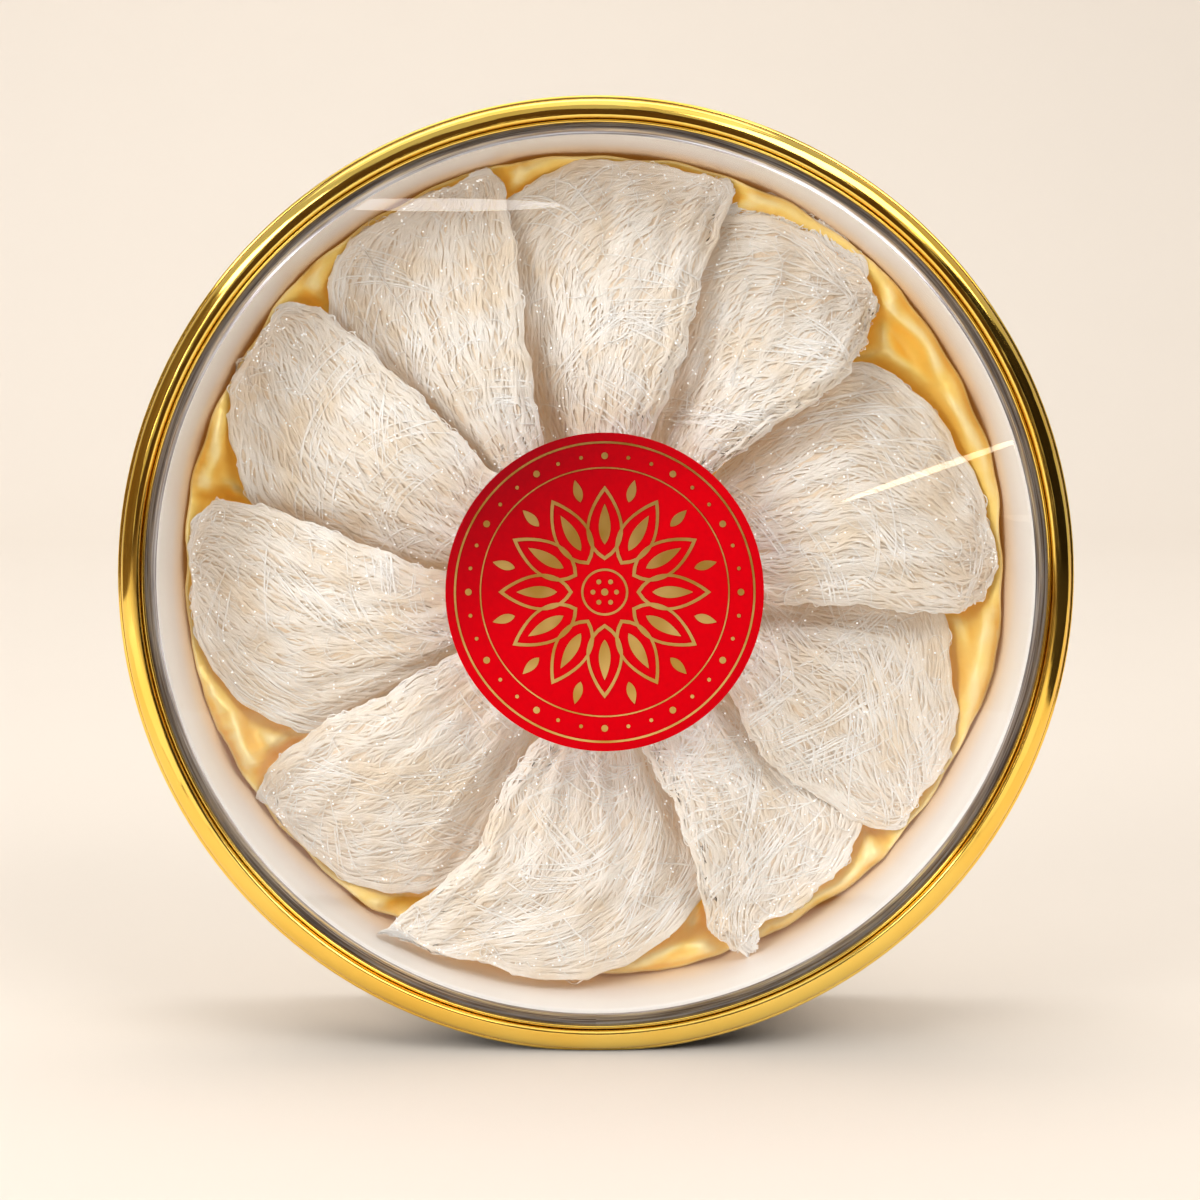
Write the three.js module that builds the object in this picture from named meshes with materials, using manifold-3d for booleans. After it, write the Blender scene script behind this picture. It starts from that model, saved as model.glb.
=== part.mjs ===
// Ten edible nests packed in a round lidded box. Millimetres, +Z up, the clear lid faces -Y.
// The box stands on edge: its axis runs along Y and a small flat on its round side is at z = 0.
import * as THREE from 'three';
import { mergeVertices } from 'three/addons/utils/BufferGeometryUtils.js';
import Module from 'manifold-3d';

const wasm = await Module();
wasm.setup();

// Driving dimensions of the box
const OUTER_RADIUS = 106;
const BOX_DEPTH = 50;
const FRONT_Y = -BOX_DEPTH / 2;
const BACK_Y = BOX_DEPTH / 2;
const AXIS_HEIGHT = 105.6;
const SIDES = 56;
const CLEARANCE = 0.3;

// Gold rim: a skirt with an inner lip, a groove, a wide bead and an outer band
const RIM_INNER_RADIUS = 99.8;
const RIM_POCKET_RADIUS = 102.2;
const RIM_BACK_Y = -9;
const BEAD_RADIUS = 102.6;
const BEAD_HALF_WIDTH = 1.7;
const BEAD_HEIGHT = 1.5;

// Clear window
const WINDOW_FRONT_Y = FRONT_Y + 1.6;
const WINDOW_THICKNESS = 2;
const WINDOW_FLANGE_Y = FRONT_Y + 3;
const WINDOW_FLANGE_RADIUS = 101.8;

// White tray
const TRAY_MOUTH_RADIUS = 97.2;
const TRAY_FLOOR_RADIUS = 94.6;
const TRAY_LIP_Y = -19.5;
const TRAY_FLOOR_Y = 13;
const TRAY_PANEL_Y = 17.5;
const DRUM_RADIUS = 105;
const FOOT_THICKNESS = 4;
const FOOT_INNER_RADIUS = 98;

// Satin lining
const SATIN_Y = 9.5;
const FINE_SIDES = 36;

// Seal on the window, a little off the axis
const SEAL_X = 1.9;
const SEAL_Z = -4;
const SEAL_RADIUS = 35.2;
const SEAL_THICKNESS = 0.4;
const SEAL_GAP = 0.05;
const FOIL_THICKNESS = 0.25;
const BORDER_RADIUS = 33.4;
const BORDER_WIDTH = 0.7;
const PETALS = 12;
const PETAL_STEPS = 3;
const ROSETTE_RADIUS = 24;
const ROSETTE_HEART_RADIUS = 6;

// Nests: the crest is the height of the free clockwise edge, the tuck that of the hidden edge
const CREST_Y = -12;
const CREST_END_Y = 1;
const TUCK_Y = 3;
const TUCK_END_Y = 5;
const NEST_REACH = 93.2;
const NEST_THICKNESS = 4.2;
const EDGE_THICKNESS = 2.4;
const CUT_SPREAD = 0.06;
const TANGENT_STEP = 0.02;
const CREST_AT = 0.82;
const CREST_FALL = 0.1;
const RIDGE_HEIGHT = 0.45;
const STEPS_ALONG = 12;
const STEPS_ACROSS = 8;

const COLORS = {
  gold: { color: 0xd9a441, roughness: 0.18, metalness: 1 },
  clear: { color: 0xf4f6f4, roughness: 0.03, metalness: 0 },
  tray: { color: 0xf3ead9, roughness: 0.25, metalness: 0 },
  satin: { color: 0xd8b45c, roughness: 0.4, metalness: 0 },
  seal: { color: 0xa3161a, roughness: 0.45, metalness: 0 },
  foil: { color: 0xe0b45a, roughness: 0.3, metalness: 1 },
  nest: { color: 0xe6dac4, roughness: 0.5, metalness: 0 },
};

// Outlines of the nests as seen from the front, [x, z] from the box's axis, read clockwise from
// the top. free: the crisp edge from the middle outwards. hidden: the edge under the neighbour,
// from the middle outwards. outer: from the end of hidden to the end of free.
const NESTS = [
  {
    free: [[8.5, 15.5], [13.5, 32.5], [20, 49.5], [25, 68], [32.5, 86]],
    hidden: [[-5.5, 13.5], [-16, 31], [-21, 53], [-26, 78]],
    outer: [[-26, 78], [-10, 90.5], [6, 93.5], [24.5, 90], [32.5, 86]],
  },
  {
    free: [[16.5, 13], [25.5, 21], [40.5, 32.5], [54.5, 41.5], [61.5, 50.5], [64.5, 58.5]],
    hidden: [[10.5, 14], [12, 34], [18, 58], [24.5, 80]],
    outer: [[24.5, 80], [41, 80], [53.5, 73.5], [63.5, 65], [64.5, 58.5]],
  },
  {
    free: [[21.5, -3.5], [38.5, -7.5], [57.5, -8], [81, -10.5], [90.5, -7.5]],
    hidden: [[17, 8], [29, 21.5], [42, 33], [57, 47]],
    outer: [[57, 47], [71, 42.5], [81.5, 31], [89, 17], [92.5, 3], [90.5, -7.5]],
  },
  {
    free: [[19, -12.5], [30, -27], [37, -40.5], [47, -50], [67.5, -63]],
    hidden: [[21, -5.5], [41, -4.5], [59.5, -4], [80, -4]],
    outer: [[80, -4], [82, -20], [83.5, -35], [81.5, -45.5], [74.5, -55], [67.5, -63]],
  },
  {
    free: [[10, -25], [12, -42], [18, -53], [23.5, -69], [26.5, -82], [33.5, -88.5]],
    hidden: [[21, -17.5], [34, -30.5], [44, -42], [62, -54]],
    outer: [[62, -54], [61, -62], [55, -70.5], [45.5, -78], [36, -82.5], [33.5, -88.5]],
    crestEnd: -6,
  },
  {
    free: [[-1, -25], [-14.5, -41], [-21, -50], [-26, -62.5], [-37.5, -74], [-46.5, -80]],
    hidden: [[9, -26.5], [13.5, -42], [20, -56], [29, -70]],
    outer: [[29, -70], [24.5, -77], [8.5, -89.5], [-8, -93.5], [-30, -88], [-43, -86], [-46.5, -80]],
    crestEnd: -12,
  },
  {
    free: [[-14.5, -15], [-31, -19.5], [-49.5, -30], [-61.5, -36], [-77.5, -49.5]],
    hidden: [[-4.5, -25.5], [-12, -41], [-18, -55], [-25, -70]],
    outer: [[-25, -70], [-36, -74.5], [-49.5, -75.5], [-67, -66.5], [-75, -58], [-77.5, -49.5]],
  },
  {
    free: [[-14.5, -4.5], [-33.5, -1.5], [-52, 5], [-74, 12.5], [-91, 15]],
    hidden: [[-15, -13.5], [-30, -21.5], [-43, -30], [-57, -38]],
    outer: [[-57, -38], [-67, -39], [-77, -34.5], [-88, -24.5], [-92.5, -13], [-93, 1], [-91, 15]],
  },
  {
    free: [[-11.5, 9], [-23, 21.5], [-38.5, 37], [-56, 53], [-67.5, 61.5]],
    hidden: [[-15.5, -4], [-35, -4], [-54, 0], [-74.5, 7]],
    outer: [[-74.5, 7], [-81, 18.5], [-84, 31], [-83.5, 41.5], [-77, 53.5], [-67.5, 61.5]],
  },
  {
    free: [[-7.5, 13.5], [-12, 28], [-15.5, 48.5], [-18, 70], [-22, 91]],
    hidden: [[-13, 7.5], [-28, 19.5], [-44, 35.5], [-61, 53]],
    outer: [[-61, 53], [-61, 64.5], [-56.5, 75], [-46, 82.5], [-33.5, 87.5], [-22, 91]],
  },
];

const part = new THREE.Group();

function addPiece(name, geometry, finish) {
  const mesh = new THREE.Mesh(geometry, new THREE.MeshStandardMaterial(finish));
  mesh.name = name;
  part.add(mesh);
  return mesh;
}

// Leaves only merged positions, with the faces pointing out.
function closedSolid(geometry) {
  geometry.deleteAttribute('normal');
  geometry.deleteAttribute('uv');
  const merged = mergeVertices(geometry, 1e-4);
  const position = merged.getAttribute('position');
  const corners = merged.getIndex().array;
  const faces = [];
  let volume = 0;
  const a = new THREE.Vector3();
  const b = new THREE.Vector3();
  const c = new THREE.Vector3();
  for (let i = 0; i < corners.length; i += 3) {
    const [p, q, r] = [corners[i], corners[i + 1], corners[i + 2]];
    if (p === q || q === r || r === p) continue;
    faces.push(p, q, r);
    a.fromBufferAttribute(position, p);
    b.fromBufferAttribute(position, q);
    c.fromBufferAttribute(position, r);
    volume += a.dot(b.cross(c));
  }
  if (volume < 0) faces.reverse();
  merged.setIndex(faces);
  return merged;
}

function toManifold(geometry) {
  return new wasm.Manifold(new wasm.Mesh({
    numProp: 3,
    vertProperties: new Float32Array(geometry.getAttribute('position').array),
    triVerts: new Uint32Array(geometry.getIndex().array),
  }));
}

function fromManifold(solid) {
  const mesh = solid.getMesh();
  const geometry = new THREE.BufferGeometry();
  geometry.setAttribute('position', new THREE.BufferAttribute(new Float32Array(mesh.vertProperties), 3));
  geometry.setIndex(new THREE.BufferAttribute(new Uint32Array(mesh.triVerts), 1));
  return geometry;
}

// Turns a profile of [radius, y] points about the box's axis, with a side square to the ground.
function turned(profile, sides = SIDES) {
  const points = profile.map(([radius, y]) => new THREE.Vector2(radius, y));
  return closedSolid(new THREE.LatheGeometry(points, sides, Math.PI / sides));
}

function arc(radius, y, width, height, from, to, steps) {
  return Array.from({ length: steps + 1 }, (_, i) => {
    const angle = from + ((to - from) * i) / steps;
    return [radius - width * Math.cos(angle), y - height * Math.sin(angle)];
  });
}

// Cuts the small flat that the box stands on.
function cutStandingFlat(geometry) {
  const slab = new THREE.BoxGeometry(OUTER_RADIUS, BOX_DEPTH * 2, OUTER_RADIUS);
  slab.translate(0, 0, -AXIS_HEIGHT - OUTER_RADIUS / 2);
  return fromManifold(toManifold(geometry).subtract(toManifold(closedSolid(slab))));
}

function rimGeometry() {
  const pocketY = WINDOW_FLANGE_Y - CLEARANCE;
  const bead = arc(BEAD_RADIUS, FRONT_Y + BEAD_HEIGHT, BEAD_HALF_WIDTH, BEAD_HEIGHT, 0, Math.PI, 5);
  const profile = [
    [RIM_INNER_RADIUS, pocketY],
    [RIM_INNER_RADIUS, FRONT_Y + 1.2],
    [RIM_INNER_RADIUS + 0.5, FRONT_Y + 0.9],
    [RIM_INNER_RADIUS + 0.8, FRONT_Y + 2],
    ...bead,
    [BEAD_RADIUS + BEAD_HALF_WIDTH + 0.2, FRONT_Y + 1.1],
    [OUTER_RADIUS - 0.6, FRONT_Y + 1.5],
    [OUTER_RADIUS, FRONT_Y + 2.6],
    [OUTER_RADIUS, RIM_BACK_Y],
    [RIM_POCKET_RADIUS, RIM_BACK_Y],
    [RIM_POCKET_RADIUS, pocketY],
    [RIM_INNER_RADIUS, pocketY],
  ];
  return cutStandingFlat(turned(profile));
}

function windowGeometry() {
  const inside = WINDOW_FRONT_Y + WINDOW_THICKNESS;
  return turned([
    [0, WINDOW_FRONT_Y],
    [96.4, WINDOW_FRONT_Y],
    [98.4, WINDOW_FRONT_Y + 0.3],
    [99.4, WINDOW_FLANGE_Y],
    [WINDOW_FLANGE_RADIUS, WINDOW_FLANGE_Y],
    [WINDOW_FLANGE_RADIUS, TRAY_LIP_Y - CLEARANCE],
    [98, TRAY_LIP_Y - CLEARANCE],
    [96, inside],
    [0, inside],
  ]);
}

function trayGeometry() {
  const shoulderY = RIM_BACK_Y + CLEARANCE;
  const bodyRadius = RIM_POCKET_RADIUS - CLEARANCE - 0.2;
  return cutStandingFlat(turned([
    [0, TRAY_FLOOR_Y],
    [TRAY_FLOOR_RADIUS - 3, TRAY_FLOOR_Y],
    [TRAY_FLOOR_RADIUS, TRAY_FLOOR_Y - 3],
    [TRAY_MOUTH_RADIUS, TRAY_LIP_Y + 0.8],
    [TRAY_MOUTH_RADIUS + 0.6, TRAY_LIP_Y],
    [bodyRadius, TRAY_LIP_Y],
    [bodyRadius, shoulderY],
    [DRUM_RADIUS, shoulderY],
    [DRUM_RADIUS, BACK_Y - FOOT_THICKNESS - 0.5],
    [OUTER_RADIUS, BACK_Y - FOOT_THICKNESS],
    [OUTER_RADIUS, BACK_Y],
    [FOOT_INNER_RADIUS, BACK_Y],
    [FOOT_INNER_RADIUS - 1, TRAY_PANEL_Y],
    [0, TRAY_PANEL_Y],
  ]));
}

// A dish of cloth: flat under the nests, with a hem that stands up along the tray's wall.
function satinGeometry() {
  const back = TRAY_FLOOR_Y - CLEARANCE;
  return turned([
    [0, SATIN_Y],
    [86, SATIN_Y],
    [91.5, SATIN_Y - 1.5],
    [93.6, SATIN_Y - 5],
    [94.4, SATIN_Y - 5],
    [94, SATIN_Y + 0.3],
    [91, back],
    [0, back],
  ], FINE_SIDES);
}

function sealGeometry(radius, thickness) {
  return closedSolid(new THREE.CylinderGeometry(radius, radius, thickness, FINE_SIDES));
}

// A thin flat piece, drawn in the window's plane and pushed towards the viewer.
function foilGeometry(shape) {
  const geometry = new THREE.ExtrudeGeometry(shape, {
    depth: FOIL_THICKNESS, bevelEnabled: false, curveSegments: PETAL_STEPS,
  });
  geometry.rotateX(Math.PI / 2);
  return closedSolid(geometry);
}

function borderGeometry() {
  const inner = BORDER_RADIUS - BORDER_WIDTH;
  return turned([
    [inner, 0],
    [inner, -FOIL_THICKNESS],
    [BORDER_RADIUS, -FOIL_THICKNESS],
    [BORDER_RADIUS, 0],
    [inner, 0],
  ], FINE_SIDES);
}

// A plain lobed rosette with a petal-shaped opening in each lobe and a round heart.
function rosetteShape() {
  const shape = new THREE.Shape();
  const step = (Math.PI * 2) / PETALS;
  const at = (radius, angle) => [radius * Math.cos(angle), radius * Math.sin(angle)];
  shape.moveTo(...at(ROSETTE_RADIUS - 3, -step / 2));
  for (let i = 0; i < PETALS; i += 1) {
    shape.quadraticCurveTo(...at(ROSETTE_RADIUS + 3, i * step), ...at(ROSETTE_RADIUS - 3, (i + 0.5) * step));
    const petal = new THREE.Path();
    petal.moveTo(...at(ROSETTE_HEART_RADIUS + 2, i * step));
    petal.quadraticCurveTo(...at(ROSETTE_RADIUS * 0.7, (i + 0.42) * step), ...at(ROSETTE_RADIUS - 2, i * step));
    petal.quadraticCurveTo(...at(ROSETTE_RADIUS * 0.7, (i - 0.42) * step), ...at(ROSETTE_HEART_RADIUS + 2, i * step));
    shape.holes.push(petal);
  }
  const heart = new THREE.Path();
  heart.absarc(0, 0, ROSETTE_HEART_RADIUS - 1, 0, Math.PI * 2);
  shape.holes.push(heart);
  return shape;
}

const smooth = (t) => {
  const s = Math.min(Math.max(t, 0), 1);
  return s * s * (3 - 2 * s);
};

const spline = (points) => new THREE.SplineCurve(points.map(([x, z]) => new THREE.Vector2(x, z)));

// Past either end the curve runs straight on.
function pointOn(curve, t) {
  const inside = Math.min(Math.max(t, 0), 1);
  const point = curve.getPoint(inside);
  if (inside === t) return point;
  const back = curve.getPoint(inside + (t < 0 ? TANGENT_STEP : -TANGENT_STEP));
  return point.add(point.clone().sub(back).multiplyScalar(Math.abs(t - inside) / TANGENT_STEP));
}

// The front surface of a nest: along runs from the middle of the box outwards, across from the
// hidden edge to the free one. The outline is filled as a patch between its four edges.
function nestSurface({ free, hidden, outer, crestEnd = CREST_END_Y }) {
  const edges = { free: spline(free), hidden: spline(hidden), outer: spline(outer) };
  const outerFree = new THREE.Vector2(...free.at(-1));
  const outerHidden = new THREE.Vector2(...hidden.at(-1));
  return (along, across) => {
    const flat = new THREE.Vector2();
    flat.addScaledVector(pointOn(edges.hidden, along), 1 - across);
    flat.addScaledVector(pointOn(edges.free, along), across);
    flat.addScaledVector(pointOn(edges.outer, across), along);
    flat.addScaledVector(outerHidden, -along * (1 - across));
    flat.addScaledVector(outerFree, -along * across);
    flat.clampLength(0, NEST_REACH);
    const crest = THREE.MathUtils.lerp(CREST_Y, crestEnd, smooth((along - 0.4) / 0.6));
    const tuck = THREE.MathUtils.lerp(TUCK_Y, TUCK_END_Y, along);
    const climb = across < CREST_AT
      ? 1 - (1 - across / CREST_AT) ** 2
      : 1 - CREST_FALL * ((across - CREST_AT) / (1 - CREST_AT)) ** 2;
    return { x: flat.x, y: THREE.MathUtils.lerp(tuck, crest, climb), z: flat.y };
  };
}

// With a margin the same shell comes out larger on every side, to cut room for itself in others.
function nestGeometry(nest, margin = 0) {
  const surface = nestSurface(nest);
  const spread = (step, steps) => (step / steps - 0.5) * (1 + margin * CUT_SPREAD) + 0.5;
  const positions = [];
  const faces = [];
  const row = STEPS_ACROSS + 1;
  const layer = (STEPS_ALONG + 1) * row;
  for (const back of [0, 1]) {
    for (let i = 0; i <= STEPS_ALONG; i += 1) {
      for (let j = 0; j <= STEPS_ACROSS; j += 1) {
        const { x, y, z } = surface(spread(i, STEPS_ALONG), spread(j, STEPS_ACROSS));
        const edge = Math.min(i, STEPS_ALONG - i, j, STEPS_ACROSS - j) === 0;
        const ridge = !back && !edge && j % 2 === 1 ? -RIDGE_HEIGHT : 0;
        const thickness = edge ? EDGE_THICKNESS : NEST_THICKNESS;
        positions.push(x, y + ridge - margin + back * (thickness + 2 * margin), z);
      }
    }
  }
  const quad = (a, b, c, d) => faces.push(a, b, c, a, c, d);
  for (let i = 0; i < STEPS_ALONG; i += 1) {
    for (let j = 0; j < STEPS_ACROSS; j += 1) {
      const k = i * row + j;
      quad(k, k + 1, k + row + 1, k + row);
      quad(layer + k, layer + k + row, layer + k + row + 1, layer + k + 1);
    }
  }
  const border = [];
  for (let j = 0; j < STEPS_ACROSS; j += 1) border.push(j);
  for (let i = 0; i < STEPS_ALONG; i += 1) border.push(i * row + STEPS_ACROSS);
  for (let j = STEPS_ACROSS; j > 0; j -= 1) border.push(STEPS_ALONG * row + j);
  for (let i = STEPS_ALONG; i > 0; i -= 1) border.push(i * row);
  border.forEach((k, n) => {
    const next = border[(n + 1) % border.length];
    quad(k, layer + k, layer + next, next);
  });
  const geometry = new THREE.BufferGeometry();
  geometry.setAttribute('position', new THREE.Float32BufferAttribute(positions, 3));
  geometry.setIndex(faces);
  return closedSolid(geometry);
}

// Each nest lies over the next one clockwise, which is cut clear of it.
function packedNestGeometry(nest, i) {
  const above = NESTS[(i + NESTS.length - 1) % NESTS.length];
  const room = toManifold(nestGeometry(above, CLEARANCE));
  return fromManifold(toManifold(nestGeometry(nest)).subtract(room));
}

function placeOnAxis(mesh) {
  mesh.position.z = AXIS_HEIGHT;
}

function placeOnSeal(mesh, y) {
  mesh.position.set(SEAL_X, y, AXIS_HEIGHT + SEAL_Z);
}

placeOnAxis(addPiece('gold_rim', rimGeometry(), COLORS.gold));
placeOnAxis(addPiece('lid_window', windowGeometry(), COLORS.clear));
placeOnAxis(addPiece('tray', trayGeometry(), COLORS.tray));
placeOnAxis(addPiece('satin_lining', satinGeometry(), COLORS.satin));
NESTS.forEach((nest, i) => placeOnAxis(addPiece(`nest_${i + 1}`, packedNestGeometry(nest, i), COLORS.nest)));

const sealFrontY = WINDOW_FRONT_Y - SEAL_GAP - SEAL_THICKNESS;
const sealMiddleY = sealFrontY + SEAL_THICKNESS / 2;
placeOnSeal(addPiece('seal_label', sealGeometry(SEAL_RADIUS, SEAL_THICKNESS), COLORS.seal), sealMiddleY);
placeOnSeal(addPiece('seal_border', borderGeometry(), COLORS.foil), sealFrontY - SEAL_GAP);
placeOnSeal(addPiece('seal_rosette', foilGeometry(rosetteShape()), COLORS.foil), sealFrontY - SEAL_GAP);

export default part;
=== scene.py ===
"""Edible nests packed in a round lidded box that stands on edge, dressed for a studio picture.

Every length is in metres. The box's axis runs along Y, its clear lid faces -Y and +Z is up.
"""
import logging
import math
from dataclasses import dataclass
from enum import Enum

import bpy
import numpy as np
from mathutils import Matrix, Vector


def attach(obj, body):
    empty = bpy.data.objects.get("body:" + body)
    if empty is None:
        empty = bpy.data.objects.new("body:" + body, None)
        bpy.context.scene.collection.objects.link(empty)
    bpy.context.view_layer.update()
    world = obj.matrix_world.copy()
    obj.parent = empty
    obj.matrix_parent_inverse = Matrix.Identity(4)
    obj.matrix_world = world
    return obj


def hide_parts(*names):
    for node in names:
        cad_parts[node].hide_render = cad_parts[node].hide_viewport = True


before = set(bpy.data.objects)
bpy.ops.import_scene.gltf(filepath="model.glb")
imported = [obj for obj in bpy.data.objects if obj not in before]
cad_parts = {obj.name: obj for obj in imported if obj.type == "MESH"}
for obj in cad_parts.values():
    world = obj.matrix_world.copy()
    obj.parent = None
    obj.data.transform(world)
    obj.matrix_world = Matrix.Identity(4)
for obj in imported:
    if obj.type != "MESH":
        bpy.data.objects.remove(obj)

log = logging.getLogger("nest_box")

MM = 0.001
TURN = 2 * math.pi
BODY = "root"
FLOW_STEPS = 40
TINY = 1e-9
SMALL = 1e-6

Array = np.ndarray
Colour = tuple[float, float, float]
Outline = tuple[tuple[float, float], ...]


class Finish(Enum):
    """The slots of a nest's mesh, in the order of its finishes."""

    STRAND = 0
    GROUND = 1
    FINE = 2
    # the finish of the beads that glow white as painted glints
    BEAD = 3


@dataclass(frozen=True)
class StrandForm:
    """How the strands of one kind are made, in millimetres.

    Attributes:
        steps: how many places each has along it.
        thinnest: the smallest radius.
        thickest: the largest radius.
        finish: what they are dressed in.
        count: how many there are on a nest, where that doesn't depend on its size or form.
    """

    steps: int
    thinnest: float
    thickest: float
    finish: Finish = Finish.STRAND
    count: int = 0


class Strand(Enum):
    """The kinds of dried strand that a nest is woven from, in the order in which they are laid."""

    GROUND = StrandForm(11, 0.2, 0.4)
    NET = StrandForm(17, 0.26, 0.52)
    CROSS = StrandForm(9, 0.14, 0.25, Finish.FINE)
    RIM = StrandForm(15, 0.2, 0.36, count=58)
    WRAP = StrandForm(15, 0.2, 0.36, count=64)
    FUZZ = StrandForm(8, 0.07, 0.15, Finish.FINE, 260)
    FRINGE = StrandForm(9, 0.08, 0.17, Finish.FINE, 110)
    LACE = StrandForm(9, 0.1, 0.2, Finish.FINE)
    # tiny beads that glow white as painted glints
    BEAD = StrandForm(1, 0.12, 0.26, Finish.BEAD, 190)


@dataclass(frozen=True)
class BoxSizes:
    """The sizes that the pieces of the box share, as in the part's source."""

    outer_radius: float = 106 * MM
    half_depth: float = 25 * MM
    axis_height: float = 105.6 * MM
    sides: int = 192
    window_radius: float = 101.8 * MM
    tray_lip_y: float = -19.5 * MM
    tray_floor_y: float = 13 * MM
    satin_y: float = 9.5 * MM

    @property
    def front(self) -> float:
        """The y of the lid's front face."""
        return -self.half_depth


BOX = BoxSizes()


def mesh_piece(name: str, points: Array, faces: list[Array], materials: list, slots: Array | None = None,
               smooth: bool = True) -> bpy.types.Object:
    """Makes a mesh object from arrays of corners.

    Args:
        name: the object's name.
        points: corners, one row each, in metres.
        faces: arrays of faces, each array with one number of corners per face.
        materials: the materials of the object's slots.
        slots: the slot of each face, or None for slot 0 all over.
        smooth: whether the faces are shaded smooth.

    Returns:
        The new object, linked to the scene.
    """
    mesh = bpy.data.meshes.new(name)
    mesh.vertices.add(len(points))
    mesh.vertices.foreach_set("co", np.asarray(points, np.float32).ravel())
    corners = np.concatenate([np.asarray(f, np.int32).ravel() for f in faces])
    counts = np.concatenate([np.full(len(f), np.asarray(f).shape[1], np.int32) for f in faces])
    starts = np.concatenate([[0], np.cumsum(counts)[:-1]]).astype(np.int32)
    mesh.loops.add(len(corners))
    mesh.loops.foreach_set("vertex_index", corners)
    mesh.polygons.add(len(counts))
    mesh.polygons.foreach_set("loop_start", starts)
    mesh.polygons.foreach_set("use_smooth", np.full(len(counts), smooth))
    if slots is not None:
        mesh.polygons.foreach_set("material_index", slots.astype(np.int32))
    mesh.update(calc_edges=True)
    mesh.validate()
    for material in materials:
        mesh.materials.append(material)
    obj = bpy.data.objects.new(name, mesh)
    bpy.context.scene.collection.objects.link(obj)
    return obj


def ring_faces(rows: int, columns: int, closed_rows: bool = False) -> Array:
    """Quads of a grid of rows by columns whose columns close on themselves.

    Args:
        rows: how many rows of corners there are.
        columns: how many corners a row has.
        closed_rows: whether the last row joins the first.

    Returns:
        One quad a row.
    """
    i = np.arange(rows if closed_rows else rows - 1)[:, None]
    j = np.arange(columns)[None, :]
    here, below = i * columns, (i + 1) % rows * columns
    beside = (j + 1) % columns
    return np.stack([here + j, below + j, below + beside, here + beside], -1).reshape(-1, 4)


def fan_faces(middle: int, start: int, count: int, reverse: bool = False) -> Array:
    """Triangles between a middle corner and a closed row of corners.

    Args:
        middle: the number of the middle corner.
        start: the number of the row's first corner.
        count: how many corners the row has.
        reverse: whether the triangles run the other way round.

    Returns:
        One triangle a row.
    """
    j = np.arange(count)
    sides = (start + j, start + (j + 1) % count)
    return np.stack([np.full_like(j, middle), *(reversed(sides) if reverse else sides)], -1)


def unit(vectors: Array, least: float = TINY) -> Array:
    """Vectors of the same headings and a length of 1, or shorter where they were below the least length."""
    return vectors / np.maximum(np.linalg.norm(vectors, axis=-1, keepdims=True), least)


def turned(name: str, profile: list[tuple[float, float]], material: bpy.types.Material,
           closed: bool = False) -> bpy.types.Object:
    """Turns a profile about the box's axis.

    Args:
        name: the object's name.
        profile: points of (radius, y); a profile that isn't closed starts and ends on the axis.
        material: its finish.
        closed: whether the last point joins the first.

    Returns:
        The turned object.
    """
    line = np.array(profile)
    angles = np.arange(BOX.sides) / BOX.sides * TURN
    inner = line if closed else line[1:-1]
    points = np.stack([
        inner[:, None, 0] * np.sin(angles),
        np.broadcast_to(inner[:, None, 1], (len(inner), BOX.sides)),
        BOX.axis_height - inner[:, None, 0] * np.cos(angles),
    ], -1).reshape(-1, 3)
    faces = [ring_faces(len(inner), BOX.sides, closed)]
    if not closed:
        first, last = len(points), len(points) + 1
        points = np.vstack([points, [0, line[0, 1], BOX.axis_height], [0, line[-1, 1], BOX.axis_height]])
        faces.append(fan_faces(first, 0, BOX.sides))
        faces.append(fan_faces(last, first - BOX.sides, BOX.sides, reverse=True))
    obj = mesh_piece(name, points, faces, [material])
    face_out(obj)
    return obj


def face_out(obj: bpy.types.Object) -> None:
    """Turns a closed mesh's faces outwards.

    Args:
        obj: the mesh object.
    """
    mesh = obj.data
    mesh.calc_loop_triangles()
    tris = np.empty(len(mesh.loop_triangles) * 3, np.int32)
    mesh.loop_triangles.foreach_get("vertices", tris)
    points = np.empty(len(mesh.vertices) * 3, np.float32)
    mesh.vertices.foreach_get("co", points)
    a, b, c = points.reshape(-1, 3).astype(float)[tris.reshape(-1, 3)].transpose(1, 0, 2)
    if np.einsum("ij,ij->i", a, np.cross(b, c)).sum() < 0:
        mesh.flip_normals()


def arc(radius: float, y: float, width: float, height: float, start: float, end: float,
        steps: int) -> list[tuple[float, float]]:
    """Points of a profile's rounded stretch.

    Args:
        radius: the radius of the arc's middle.
        y: the y of the arc's middle.
        width: how far it reaches along the radius.
        height: how far it reaches towards the front.
        start: its first angle, 0 towards the axis and a quarter turn towards the front.
        end: its last angle.
        steps: how many steps it has.

    Returns:
        Points of (radius, y).
    """
    angles = np.linspace(start, end, steps + 1)
    return [(radius - width * math.cos(t), y - height * math.sin(t)) for t in angles]


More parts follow.
